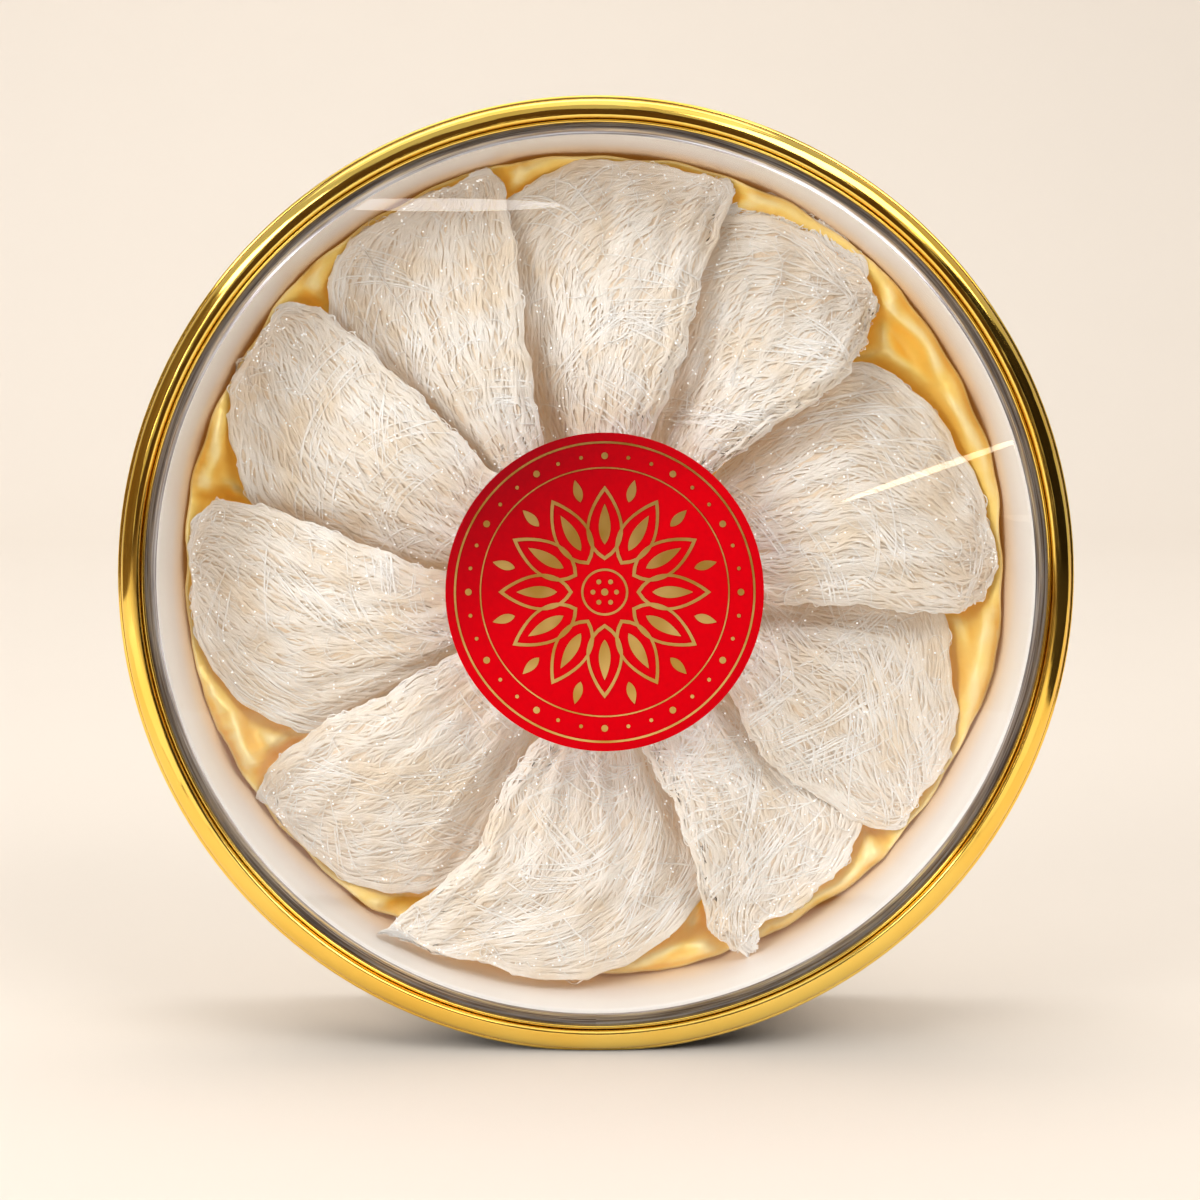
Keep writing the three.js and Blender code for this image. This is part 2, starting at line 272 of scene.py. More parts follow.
class Shader:
    """A small builder for a procedural material."""

    def __init__(self, name: str) -> None:
        """Starts a material with one Principled shader.

        Args:
            name: the material's name.
        """
        self.material = bpy.data.materials.new(name)
        self.material.use_nodes = True
        self.tree = self.material.node_tree
        self.surface = self.tree.nodes["Principled BSDF"]

    def node(self, kind: str, **values: object) -> bpy.types.Node:
        """Adds a node and sets its properties or the inputs of those names.

        Args:
            kind: the node's type.
            **values: properties, or inputs with spaces written as underscores.

        Returns:
            The node.
        """
        made = self.tree.nodes.new(kind)
        for key, value in values.items():
            if hasattr(made, key):
                setattr(made, key, value)
            else:
                made.inputs[key.replace("_", " ")].default_value = value
        return made

    def link(self, source: bpy.types.NodeSocket, target: bpy.types.NodeSocket) -> None:
        """Joins two sockets."""
        self.tree.links.new(source, target)

    def set(self, **values: object) -> "Shader":
        """Sets inputs of the Principled shader, with spaces written as underscores.

        Args:
            **values: the inputs' values.

        Returns:
            This builder.
        """
        for key, value in values.items():
            self.surface.inputs[key.replace("_", " ")].default_value = value
        return self

    def work_out(self, operation: str, *terms: bpy.types.NodeSocket | float) -> bpy.types.NodeSocket:
        """Works out a number.

        Args:
            operation: what is done.
            *terms: the sockets or numbers that it is done with.

        Returns:
            The number.
        """
        node = self.node("ShaderNodeMath", operation=operation)
        for target, term in zip(node.inputs, terms):
            if isinstance(term, float):
                target.default_value = term
            else:
                self.link(term, target)
        return node.outputs[0]

    def own_place(self) -> bpy.types.NodeSocket:
        """The place in the object's own coordinates."""
        return self.node("ShaderNodeTexCoord").outputs["Object"]

    def axes(self) -> bpy.types.NodeOutputs:
        """The place in the object's own coordinates, axis by axis."""
        split = self.node("ShaderNodeSeparateXYZ")
        self.link(self.own_place(), split.inputs[0])
        return split.outputs

    def noise(self, scale: float, detail: float = 3,
              stretch: tuple[float, float, float] = (1, 1, 1)) -> bpy.types.NodeSocket:
        """A noise over the object's own coordinates.

        Args:
            scale: waves a metre, about.
            detail: how many finer layers it has.
            stretch: how the coordinates are scaled first.

        Returns:
            The noise's factor.
        """
        return self.noise_over(self.own_place(), scale, detail, stretch)

    def noise_over(self, place_on: bpy.types.NodeSocket, scale: float, detail: float,
                   stretch: tuple[float, float, float]) -> bpy.types.NodeSocket:
        """A noise over any coordinates.

        Args:
            place_on: the coordinates.
            scale: waves a unit, about.
            detail: how many finer layers it has.
            stretch: how the coordinates are scaled first.

        Returns:
            The noise's factor.
        """
        mapping = self.node("ShaderNodeMapping", Scale=stretch)
        texture = self.node("ShaderNodeTexNoise", Scale=scale, Detail=detail)
        self.link(place_on, mapping.inputs["Vector"])
        self.link(mapping.outputs["Vector"], texture.inputs["Vector"])
        return texture.outputs["Fac"]

    def noise_round(self, stretch: tuple[float, float, float], detail: float = 3) -> bpy.types.NodeSocket:
        """A noise that runs round the box's axis.

        Args:
            stretch: waves a radian round the axis, a metre outwards and a metre along the axis.
            detail: how many finer layers it has.

        Returns:
            The noise's factor.
        """
        axes = self.axes()
        height = self.work_out("SUBTRACT", axes["Z"], BOX.axis_height)
        turn = self.work_out("ARCTAN2", axes["X"], height)
        square = self.work_out("MULTIPLY", axes["X"], axes["X"])
        radius = self.work_out("SQRT", self.work_out("MULTIPLY_ADD", height, height, square))
        joined = self.node("ShaderNodeCombineXYZ")
        for target, value in zip(joined.inputs, (turn, radius, axes["Y"])):
            self.link(value, target)
        return self.noise_over(joined.outputs[0], 1, detail, stretch)

    def mottled(self, factor: bpy.types.NodeSocket, noise: bpy.types.NodeSocket,
                share: float) -> bpy.types.NodeSocket:
        """Adds a share of a noise to a factor."""
        return self.work_out("MULTIPLY_ADD", noise, share, factor)

    def fade(self, value: bpy.types.NodeSocket, start: float, end: float, low: float = 0,
             high: float = 1) -> bpy.types.NodeSocket:
        """Maps a number onto a range.

        Args:
            value: the number to map.
            start: what becomes low.
            end: what becomes high.
            low: the range's start.
            high: the range's end.

        Returns:
            The mapped number.
        """
        node = self.node("ShaderNodeMapRange", From_Min=start, From_Max=end, To_Min=low, To_Max=high)
        self.link(value, node.inputs["Value"])
        return node.outputs["Result"]

    def tint(self, factor: bpy.types.NodeSocket, *stops: tuple[float, Colour]) -> None:
        """Colours the surface.

        Args:
            factor: a number from 0 to 1.
            *stops: places along that range and their colours.
        """
        node = self.node("ShaderNodeValToRGB")
        elements = node.color_ramp.elements
        while len(elements) < len(stops):
            elements.new(0.5)
        for element, (place_at, colour) in zip(elements, stops):
            element.position = place_at
            element.color = (*colour, 1)
        self.link(factor, node.inputs["Fac"])
        self.link(node.outputs["Color"], self.surface.inputs["Base Color"])

    def gloss(self, noise: bpy.types.NodeSocket, clearest: float, dullest: float) -> None:
        """Varies the surface's roughness by a noise.

        Args:
            noise: the noise's factor.
            clearest: the roughness where the noise is low.
            dullest: the roughness where it is high.
        """
        self.link(self.fade(noise, 0.3, 0.7, clearest, dullest), self.surface.inputs["Roughness"])

    def bump(self, height: bpy.types.NodeSocket, depth: float, strength: float = 1) -> None:
        """Bumps the surface.

        Args:
            height: the height's factor.
            depth: the depth in metres that 1 stands for.
            strength: how much of it shows.
        """
        node = self.node("ShaderNodeBump", Strength=strength, Distance=depth)
        self.link(height, node.inputs["Height"])
        if self.surface.inputs["Normal"].is_linked:
            before = self.surface.inputs["Normal"].links[0].from_socket
            self.link(before, node.inputs["Normal"])
        self.link(node.outputs["Normal"], self.surface.inputs["Normal"])


@dataclass(frozen=True)
class GoldPlating:
    """Bright gold plating on a moulded ring."""

    colour: Colour = (1.0, 0.62, 0.10)
    pale: Colour = (1.0, 0.71, 0.16)
    roughness: float = 0.05
    dullest: float = 0.13
    ripple: float = 0.06 * MM

    def material(self) -> bpy.types.Material:
        """Makes the finish."""
        shader = Shader("gold_plating").set(Metallic=1.0, Roughness=self.roughness)
        shader.tint(shader.noise(30, 2), (0.35, self.colour), (0.65, self.pale))
        shader.gloss(shader.noise_round((9, 2600, 2600), 4), self.roughness, self.dullest)
        shader.bump(shader.noise_round((5, 900, 900), 2), self.ripple)
        return shader.material


@dataclass(frozen=True)
class ClearPlastic:
    """Clear polished plastic of the window."""

    colour: Colour = (0.985, 0.99, 0.985)
    index: float = 1.49

    def material(self) -> bpy.types.Material:
        """Makes the finish."""
        shader = Shader("clear_plastic").set(
            Base_Color=(*self.colour, 1), Roughness=0.0, IOR=self.index, Transmission_Weight=1.0,
        )
        shader.bump(shader.noise(9, 1), 0.003 * MM)
        return shader.material


@dataclass(frozen=True)
class ThickPlasticPaintedReflection:
    """The window's thick rounded edge, which mirrors the room from inside, with painted reflection in its
    streaked grey.
    """

    # both colours are painted reflection of the room in the clear edge, not the plastic's own colour
    colour: Colour = (0.82, 0.81, 0.85)
    deep: Colour = (0.24, 0.20, 0.19)

    def material(self) -> bpy.types.Material:
        """Makes the finish."""
        shader = Shader("thick_plastic_painted_reflection").set(Metallic=0.55, Roughness=0.22, IOR=1.49)
        # painted reflection: grey and dark streaks that run round the ring
        shader.tint(shader.noise_round((5, 3600, 300), 3), (0.35, self.deep), (0.7, self.colour))
        shader.bump(shader.noise_round((4, 1600, 300), 2), 0.05 * MM)
        return shader.material


@dataclass(frozen=True)
class WhitePlastic:
    """Warm white glossy moulded plastic of the tray, with painted shade that deepens towards the tray's floor
    and a painted warm glow from the satin there.
    """

    name: str = "white_plastic"
    colour: Colour = (0.94, 0.90, 0.86)
    # painted shade, and a painted warm glow of light off the satin, both laid by depth
    painted_shade: Colour = (0.87, 0.79, 0.73)
    warm: Colour = (0.90, 0.66, 0.44)
    clear_y: float = -16 * MM
    satin_glow_y: float = 5 * MM

    def material(self) -> bpy.types.Material:
        """Makes the finish."""
        shader = Shader(self.name).set(Roughness=0.3, IOR=1.5)
        # painted shade and painted satin glow deepen from the front towards the tray's floor; a little noise
        # clouds it
        depth = shader.fade(shader.axes()["Y"], self.clear_y, self.satin_glow_y)
        shade_and_cloud = shader.mottled(depth, shader.noise(18, 2), 0.25)
        shader.tint(shade_and_cloud, (0.15, self.colour), (0.5, self.painted_shade), (0.95, self.warm))
        shader.gloss(shader.noise(90, 3), 0.3, 0.4)
        return shader.material


@dataclass(frozen=True)
class SatinCloth:
    """Yellow-gold satin with a fine thread and a soft sheen, with painted shade in its creases, painted
    highlights on its ridges and a painted warm glow.
    """

    colour: Colour = (1.0, 0.63, 0.12)
    # deep is painted shade in the creases; light and pale are painted highlights on the ridges
    deep: Colour = (0.97, 0.48, 0.04)
    light: Colour = (1.0, 0.74, 0.22)
    pale: Colour = (1.0, 0.84, 0.42)
    painted_glow: Colour = (1.0, 0.55, 0.07)
    through: float = 0.12

    def material(self) -> bpy.types.Material:
        """Makes the finish."""
        # the emission is a painted glow, not light from any lamp
        shader = Shader("satin").set(
            Metallic=0.2, Roughness=0.36, IOR=1.5, Sheen_Weight=0.05, Sheen_Roughness=0.3,
            Sheen_Tint=(1, 0.8, 0.45, 1), Specular_IOR_Level=0.9, Specular_Tint=(1, 0.85, 0.6, 1),
            Emission_Color=(*self.painted_glow, 1), Emission_Strength=self.through,
        )
        # painted shade in the creases and painted highlights on the ridges, by how sharply the cloth bends
        painted_fold_light = shader.node("ShaderNodeNewGeometry").outputs["Pointiness"]
        shader.tint(painted_fold_light, (0.44, self.deep), (0.492, self.colour), (0.52, self.light), (0.56, self.pale))
        shader.bump(shader.noise_round((15, 110, 30), 2), 2.2 * MM, 0.7)
        shader.bump(shader.noise(2600, 1, (1, 1, 0.15)), 0.03 * MM, 0.4)
        shader.bump(shader.noise(2600, 1, (0.15, 1, 1)), 0.03 * MM, 0.4)
        return shader.material


@dataclass(frozen=True)
class NestStrand:
    """Dried translucent strands, ivory with warmer and clearer stretches.

    Attributes:
        name: the finish's name.
        ivory: the colour of most of them.
        pale: the colour of their clearer stretches.
        warm: the colour of their warmer stretches.
        painted_glow: the colour of a painted glow that stands for light coming through them.
        dullest: their greatest roughness.
        through: how strong that painted glow is.
    """

    name: str = "nest_strand"
    ivory: Colour = (0.90, 0.83, 0.74)
    pale: Colour = (0.95, 0.91, 0.85)
    warm: Colour = (0.88, 0.76, 0.61)
    painted_glow: Colour = (1.0, 0.70, 0.45)
    dullest: float = 0.5
    through: float = 0.09

    def material(self) -> bpy.types.Material:
        """Makes the finish."""
        # the emission is a painted glow for light passing through the strands
        shader = Shader(self.name).set(
            Roughness=0.3, IOR=1.5, Emission_Color=(*self.painted_glow, 1), Emission_Strength=self.through,
        )
        shader.tint(shader.noise(95, 6), (0.34, self.warm), (0.48, self.ivory), (0.62, self.pale))
        shader.gloss(shader.noise(500, 2), 0.12, self.dullest)
        return shader.material


@dataclass(frozen=True)
class NestGround:
    """The closely matted inside of a nest that shows between its strands, painted darker than them as the
    shade in the gaps, with a painted warm glow.
    """

    # beige and brown are painted shade of the gaps between strands, varied at random
    beige: Colour = (0.88, 0.77, 0.64)
    brown: Colour = (0.74, 0.59, 0.43)
    painted_glow: Colour = (1.0, 0.70, 0.45)
    through: float = 0.13

    def material(self) -> bpy.types.Material:
        """Makes the finish."""
        # the emission is a painted glow for light passing through the nest
        shader = Shader("nest_ground").set(
            Roughness=0.5, IOR=1.45, Emission_Color=(*self.painted_glow, 1), Emission_Strength=self.through,
        )
        shader.tint(shader.noise(160, 4), (0.32, self.brown), (0.62, self.beige))
        shader.bump(shader.noise(900, 3), 0.35 * MM)
        return shader.material


@dataclass(frozen=True)
class SealPaper:
    """Red seal paper with a fine silky tooth, a little deeper towards its upper left."""

    red: Colour = (0.70, 0.001, 0.006)
    dark: Colour = (0.28, 0.003, 0.007)
    turn_at: float = 84 * MM
    dark_at: float = 122 * MM

    def material(self) -> bpy.types.Material:
        """Makes the finish."""
        shader = Shader("seal_paper").set(Roughness=0.6, IOR=1.2, Specular_IOR_Level=0.03)
        slant = shader.node("ShaderNodeVectorMath", operation="DOT_PRODUCT")
        shader.link(shader.own_place(), slant.inputs[0])
        slant.inputs[1].default_value = (-0.6, 0, 0.8)
        depth = shader.fade(slant.outputs["Value"], self.turn_at, self.dark_at)
        toothed = shader.mottled(depth, shader.noise(900, 4), 0.3)
        shader.tint(toothed, (0.12, self.red), (1.0, self.dark))
        shader.bump(shader.noise(2400, 2), 0.05 * MM, 0.5)
        return shader.material


@dataclass(frozen=True)
class GoldFoil:
    """Stamped gold foil."""

    colour: Colour = (0.93, 0.62, 0.20)
    deep: Colour = (0.70, 0.40, 0.08)

    def material(self) -> bpy.types.Material:
        """Makes the finish."""
        shader = Shader("gold_foil").set(Metallic=1.0, Roughness=0.3)
        shader.tint(shader.noise(90, 2), (0.35, self.deep), (0.6, self.colour))
        shader.bump(shader.noise(1500, 2), 0.03 * MM, 0.5)
        return shader.material


@dataclass(frozen=True)
class StudioPaper:
    """The pale cream sweep that the box stands on."""

    colour: Colour = (0.87, 0.79, 0.70)

    def material(self) -> bpy.types.Material:
        """Makes the finish."""
        shader = Shader("studio_paper").set(Roughness=0.75, Specular_IOR_Level=0.25)
        shaded = tuple(part * 0.99 for part in self.colour)
        shader.tint(shader.noise(6, 2), (0.2, shaded), (0.8, self.colour))
        return shader.material


@dataclass(frozen=True)
class DarkCloth:
    """The dark cloth of the room's far end."""

    colour: Colour = (0.035, 0.026, 0.02)

    def material(self) -> bpy.types.Material:
        """Makes the finish."""
        shader = Shader("dark_cloth").set(Roughness=0.9, Specular_IOR_Level=0.1)
        shaded = tuple(part * 0.7 for part in self.colour)
        shader.tint(shader.noise(4, 2), (0.3, shaded), (0.7, self.colour))
        return shader.material


@dataclass(frozen=True)
class FadingCloth:
    """The floor behind the camera, which fades from the sweep's cream to brown."""

    near: Colour = (0.87, 0.79, 0.70)
    far: Colour = (0.15, 0.09, 0.045)
    near_y: float = -0.32
    far_y: float = -1.3

    def material(self) -> bpy.types.Material:
        """Makes the finish."""
        shader = Shader("fading_cloth").set(Roughness=0.9, Specular_IOR_Level=0.1)
        depth = shader.fade(shader.axes()["Y"], self.near_y, self.far_y)
        shader.tint(depth, (0.0, self.near), (0.9, self.far))
        return shader.material


def place(obj: bpy.types.Object, slot: str, *nodes: str) -> bpy.types.Object:
    """Lets a finished piece ride on the box and stand for CAD nodes.

    Args:
        obj: the piece.
        slot: not used.
        *nodes: the nodes that it stands for.

    Returns:
        The piece.
    """
    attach(obj, BODY)
    if nodes:
        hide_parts(*nodes)
    log.info("%s: %d faces", obj.name, len(obj.data.polygons))
    return obj


@dataclass
class Lid:
    """The plated rim and the clear window that it holds."""

    lip_radius: float = 99.8 * MM
    pocket_radius: float = 102.2 * MM
    crest_radius: float = 101.5 * MM
    fall: float = 2.5 * MM
    back_y: float = -9 * MM
    window_setback: float = 1.6 * MM
    window_thickness: float = 2 * MM
    edge_radius: float = 97.15 * MM

    def build(self) -> None:
        """Builds the rim and the window."""
        self.build_rim()
        self.build_window()

    def rim_profile(self) -> list[tuple[float, float]]:
        """The rim's section: thin lip, crevice, broad quarter round, narrow outer band and skirt."""
        front, outer = BOX.front, BOX.outer_radius
        pocket_y = front + 2.7 * MM
        lip = self.lip_radius
        band = 0.8 * MM
        crest = self.crest_radius
        return [
            (lip, pocket_y),
            (lip, front + 1.2 * MM),
            *arc(lip + 0.35 * MM, front + 1.2 * MM, 0.35 * MM, 0.45 * MM, 0.2, math.pi - 0.2, 8),
            (lip + 0.76 * MM, front + 1.9 * MM),
            *arc(crest, front + 1.6 * MM, crest - lip - 0.82 * MM, 1.6 * MM, 0.05, math.pi * 0.5, 10),
            *arc(crest, front + self.fall, outer - band - crest, self.fall,
                 math.pi * 0.52, math.pi * 0.97, 26),
            (outer - band - 0.02 * MM, front + self.fall + 0.15 * MM),
            *arc(outer - band, front + self.fall + 0.75 * MM, band, band, math.pi * 0.53, math.pi, 9),
            (outer, self.back_y - 0.4 * MM),
            (outer - 0.3 * MM, self.back_y),
            (self.pocket_radius, self.back_y),
            (self.pocket_radius, pocket_y),
        ]

    def build_rim(self) -> bpy.types.Object:
        """Builds the plated rim with its standing flat."""
        rim = turned("lid_rim", self.rim_profile(), GoldPlating().material(), closed=True)
        flatten_foot(rim)
        return place(rim, "gold_plating", "gold_rim")

    def build_window(self) -> bpy.types.Object:
        """Builds the clear window with its rounded shoulder."""
        front = BOX.front + self.window_setback
        inside = front + self.window_thickness
        flange_y = BOX.front + 3 * MM
        back_y = BOX.tray_lip_y - 0.05 * MM
        profile = [
            (0, front),
            (40 * MM, front),
            (80 * MM, front),
            (96.8 * MM, front),
            (97.0 * MM, front),
            (97.2 * MM, front + 0.03 * MM),
            (97.5 * MM, front + 0.16 * MM),
            (98.1 * MM, front + 0.47 * MM),
            (98.8 * MM, front + 0.9 * MM),
            (99.4 * MM, front + 1.32 * MM),
            (99.72 * MM, flange_y),
            (BOX.window_radius - 0.2 * MM, flange_y),
            (BOX.window_radius, flange_y + 0.2 * MM),
            (BOX.window_radius, back_y),
            (98.6 * MM, back_y),
            (98.5 * MM, inside + 0.5 * MM),
            (98.0 * MM, inside),
            (97.8 * MM, inside),
            (80 * MM, inside),
            (40 * MM, inside),
            (0, inside),
        ]
        window = turned("lid_window_clear", profile, ClearPlastic().material())
        # the rounded edge's faces take the finish with painted reflection
        window.data.materials.append(ThickPlasticPaintedReflection().material())
        for face in window.data.polygons:
            spread = math.hypot(face.center.x, face.center.z - BOX.axis_height)
            face.material_index = int(spread > self.edge_radius and face.center.y < inside - 0.3 * MM)
        window.visible_shadow = False
        window.visible_diffuse = False
        return place(window, "clear_plastic", "lid_window")


def flatten_foot(obj: bpy.types.Object) -> None:
    """Presses what reaches below the ground up to it, as the moulded standing flat does.

    Args:
        obj: the turned piece.
    """
    for vertex in obj.data.vertices:
        vertex.co.z = max(vertex.co.z, 0.0)


@dataclass
class Tray:
    """The white tray: a sloping wall, a floor, a drum and a foot ring."""

    mouth_radius: float = 97.2 * MM
    floor_radius: float = 94.6 * MM
    body_radius: float = 101.7 * MM
    drum_radius: float = 105 * MM
    foot_inner_radius: float = 98 * MM
    panel_y: float = 17.5 * MM
    foot_thickness: float = 4 * MM
    outside_colour: Colour = (0.92, 0.87, 0.81)

    def build(self) -> bpy.types.Object:
        """Builds the tray in one moulded piece."""
        lip_y, floor_y, back = BOX.tray_lip_y, BOX.tray_floor_y, BOX.half_depth
        shoulder_y = Lid.back_y + 0.3 * MM
        foot_y = back - self.foot_thickness
        rib = 0.6 * MM
        profile = [
            (0, floor_y),
            (50 * MM, floor_y),
            *arc(self.floor_radius - 3 * MM, floor_y - 3 * MM, 3 * MM, 3 * MM, math.pi * 1.5, math.pi, 6),
            (self.mouth_radius - 0.1 * MM, lip_y + 1.2 * MM),
            *arc(self.mouth_radius + 0.8 * MM, lip_y + 0.8 * MM, 0.8 * MM, 0.8 * MM, 0, math.pi * 0.5, 5),
            (self.body_radius, lip_y),
            (self.body_radius, shoulder_y),
            (self.drum_radius - 0.4 * MM, shoulder_y),
            (self.drum_radius, shoulder_y + 0.4 * MM),
            (self.drum_radius, foot_y - 0.6 * MM),
            (BOX.outer_radius - 0.3 * MM, foot_y),
            (BOX.outer_radius, foot_y + 0.3 * MM),
            (BOX.outer_radius, back - 0.5 * MM),
            (BOX.outer_radius - 0.5 * MM, back),
            (self.foot_inner_radius + 0.5 * MM, back),
            (self.foot_inner_radius, back - 0.5 * MM),
            (self.foot_inner_radius - 1 * MM, self.panel_y + 1 * MM),
            (self.foot_inner_radius - 2 * MM, self.panel_y),
            (62 * MM, self.panel_y),
            (61.4 * MM, self.panel_y + rib),
            (59.6 * MM, self.panel_y + rib),
            (59 * MM, self.panel_y),
            (26 * MM, self.panel_y),
            (25.4 * MM, self.panel_y + rib),
            (23.6 * MM, self.panel_y + rib),
            (23 * MM, self.panel_y),
            (0, self.panel_y),
        ]
        tray = turned("tray_body", profile, WhitePlastic().material())
        plain = self.outside_colour
        tray.data.materials.append(WhitePlastic("white_plastic_outside", plain, plain, plain).material())
        for face in tray.data.polygons:
            spread = math.hypot(face.center.x, face.center.z - BOX.axis_height)
            face.material_index = int(spread > self.mouth_radius + 1 * MM or face.center.y > floor_y + 1 * MM)
        flatten_foot(tray)
        return place(tray, "white_plastic", "tray")


@dataclass(frozen=True)
class NestForm:
    """One nest's outline seen from the front, in millimetres from the box's axis.

    Attributes:
        free: the crisp edge, from the middle of the box outwards.
        hidden: the edge that lies under the neighbour, from the middle outwards.
        outer: from the end of hidden to the end of free.
        crest_end: the y of the free edge's outer end.
        cross: how many fine strands run across the nest.
        corner: how much of its length and width the outer corners' rounding takes.
        lace: where a frayed stretch starts and ends along the outer end, and how far it reaches.
    """

    free: Outline
    hidden: Outline
    outer: Outline
    crest_end: float = 1.0
    cross: int = 60
    corner: float = 0.12
    lace: tuple[float, float, float] = (0.85, 1.0, 2.0)


NEST_FORMS: tuple[NestForm, ...] = (
    NestForm(
        free=((8.5, 15.5), (13.5, 32.5), (20, 49.5), (25, 68), (32.5, 86)),
        hidden=((-5.5, 13.5), (-16, 31), (-21, 53), (-26, 78)),
        outer=((-26, 78), (-10, 90.5), (6, 93.5), (24.5, 90), (32.5, 86)),
    ),
    NestForm(
        free=((16.5, 13), (25.5, 21), (40.5, 32.5), (54.5, 41.5), (61.5, 50.5), (64.5, 58.5)),
        hidden=((10.5, 14), (12, 34), (18, 58), (24.5, 80)),
        outer=((24.5, 80), (41, 80), (53.5, 73.5), (63.5, 65), (64.5, 58.5)),
        corner=0.09, lace=(0.02, 0.72, 6.0),
    ),
    NestForm(
        free=((21.5, -3.5), (38.5, -7.5), (57.5, -8), (81, -10.5), (90.5, -7.5)),
        hidden=((17, 8), (29, 21.5), (42, 33), (57, 47)),
        outer=((57, 47), (71, 42.5), (81.5, 31), (89, 17), (92.5, 3), (90.5, -7.5)),
    ),
    NestForm(
        free=((19, -12.5), (30, -27), (37, -40.5), (47, -50), (67.5, -63)),
        hidden=((21, -5.5), (41, -4.5), (59.5, -4), (80, -4)),
        outer=((80, -4), (82, -20), (83.5, -35), (81.5, -45.5), (74.5, -55), (67.5, -63)),
        cross=150, corner=0.08,
    ),
    NestForm(
        free=((10, -25), (12, -42), (18, -53), (23.5, -69), (26.5, -82), (33.5, -88.5)),
        hidden=((21, -17.5), (34, -30.5), (44, -42), (62, -54)),
        outer=((62, -54), (61, -62), (55, -70.5), (45.5, -78), (36, -82.5), (33.5, -88.5)),
        crest_end=-6, cross=150, corner=0.09, lace=(0.78, 1.0, 4.0),
    ),
    NestForm(
        free=((-1, -25), (-14.5, -41), (-21, -50), (-26, -62.5), (-37.5, -74), (-46.5, -80)),
        hidden=((9, -26.5), (13.5, -42), (20, -56), (29, -70)),
        outer=((29, -70), (24.5, -77), (8.5, -89.5), (-8, -93.5), (-30, -88), (-43, -86), (-46.5, -80)),
        crest_end=-12, cross=140, corner=0.11, lace=(0.8, 1.0, 4.5),
    ),
    NestForm(
        free=((-14.5, -15), (-31, -19.5), (-49.5, -30), (-61.5, -36), (-77.5, -49.5)),
        hidden=((-4.5, -25.5), (-12, -41), (-18, -55), (-25, -70)),
        outer=((-25, -70), (-36, -74.5), (-49.5, -75.5), (-67, -66.5), (-75, -58), (-77.5, -49.5)),
    ),
    NestForm(
        free=((-14.5, -4.5), (-33.5, -1.5), (-52, 5), (-74, 12.5), (-91, 15)),
        hidden=((-15, -13.5), (-30, -21.5), (-43, -30), (-57, -38)),
        outer=((-57, -38), (-67, -39), (-77, -34.5), (-88, -24.5), (-92.5, -13), (-93, 1), (-91, 15)),
    ),
    NestForm(
        free=((-11.5, 9), (-23, 21.5), (-38.5, 37), (-56, 53), (-67.5, 61.5)),
        hidden=((-15.5, -4), (-35, -4), (-54, 0), (-74.5, 7)),
        outer=((-74.5, 7), (-81, 18.5), (-84, 31), (-83.5, 41.5), (-77, 53.5), (-67.5, 61.5)),
    ),
    NestForm(
        free=((-7.5, 13.5), (-12, 28), (-15.5, 48.5), (-18, 70), (-22, 91)),
        hidden=((-13, 7.5), (-28, 19.5), (-44, 35.5), (-61, 53)),
        outer=((-61, 53), (-61, 64.5), (-56.5, 75), (-46, 82.5), (-33.5, 87.5), (-22, 91)),
    ),
)


def curve_through(points: Array, t: Array) -> Array:
    """Places on the smooth curve through points.

    Args:
        points: the curve's points, one row each.
        t: how far along the curve each place is, from 0 to 1.

    Returns:
        The places, with the shape of t and the points' own last axis.
    """
    last = len(points) - 1
    inside = np.clip(t, 0, 1) * last
    k = np.minimum(inside.astype(int), last - 1)
    w = (inside - k)[..., None]
    before, start = points[np.maximum(k - 1, 0)], points[k]
    end, after = points[k + 1], points[np.minimum(k + 2, last)]
    leaving, arriving = (end - before) / 2, (after - start) / 2
    cubic = 2 * start - 2 * end + leaving + arriving
    square = -3 * start + 3 * end - 2 * leaving - arriving
    return cubic * w ** 3 + square * w ** 2 + leaving * w + start


def even_line(points: Array, count: int = 24) -> Array:
    """Spreads points evenly along a line.

    Args:
        points: the line's points.
        count: how many points come out.

    Returns:
        The spread points.
    """
    length = np.concatenate([[0], np.cumsum(np.linalg.norm(np.diff(points, axis=0), axis=1))])
    goal = np.linspace(0, length[-1], count)
    return np.stack([np.interp(goal, length, points[:, k]) for k in (0, 1)], -1)


def smooth_step(t: Array) -> Array:
    """Eases from 0 to 1."""
    s = np.clip(t, 0, 1)
    return s * s * (3 - 2 * s)


def outline_loop(form: NestForm, steps: int = 14) -> Array:
    """The loop round a nest seen from the front.

    Args:
        form: the nest's form.
        steps: how many points each of its edges gives.

    Returns:
        The loop's points in millimetres.
    """
    t = np.linspace(0, 1, steps, endpoint=False)
    free, hidden, outer = (np.array(side, float) for side in (form.free, form.hidden, form.outer))
    return np.vstack([curve_through(free, t), curve_through(outer, 1 - t), curve_through(hidden, 1 - t)])


def nest_gap(x: Array, z: Array) -> Array:
    """How far places lie from the nearest nest, seen from the front.

    Args:
        x: how far right of the box's axis the places are, in millimetres.
        z: how far above it they are.

    Returns:
        The distances in millimetres, 0 under a nest.
    """
    spot = np.stack([x.ravel(), z.ravel()], -1)[:, None]
    gap = np.full(len(spot), np.inf)
    for form in NEST_FORMS:
        start = outline_loop(form)
        side = np.roll(start, -1, axis=0) - start
        t = ((spot - start) * side).sum(-1) / np.maximum((side ** 2).sum(-1), TINY)
        away = np.linalg.norm(spot - start - np.clip(t, 0, 1)[..., None] * side, axis=-1).min(1)
        rises = (start[:, 1] > spot[..., 1]) != (start[:, 1] + side[:, 1] > spot[..., 1])
        flat = np.where(np.abs(side[:, 1]) < TINY, TINY, side[:, 1])
        crossing = start[:, 0] + (spot[..., 1] - start[:, 1]) / flat * side[:, 0]
        inside = ((rises & (spot[..., 0] < crossing)).sum(1) % 2) == 1
        gap = np.minimum(gap, np.where(inside, 0, away))
    return gap.reshape(x.shape)


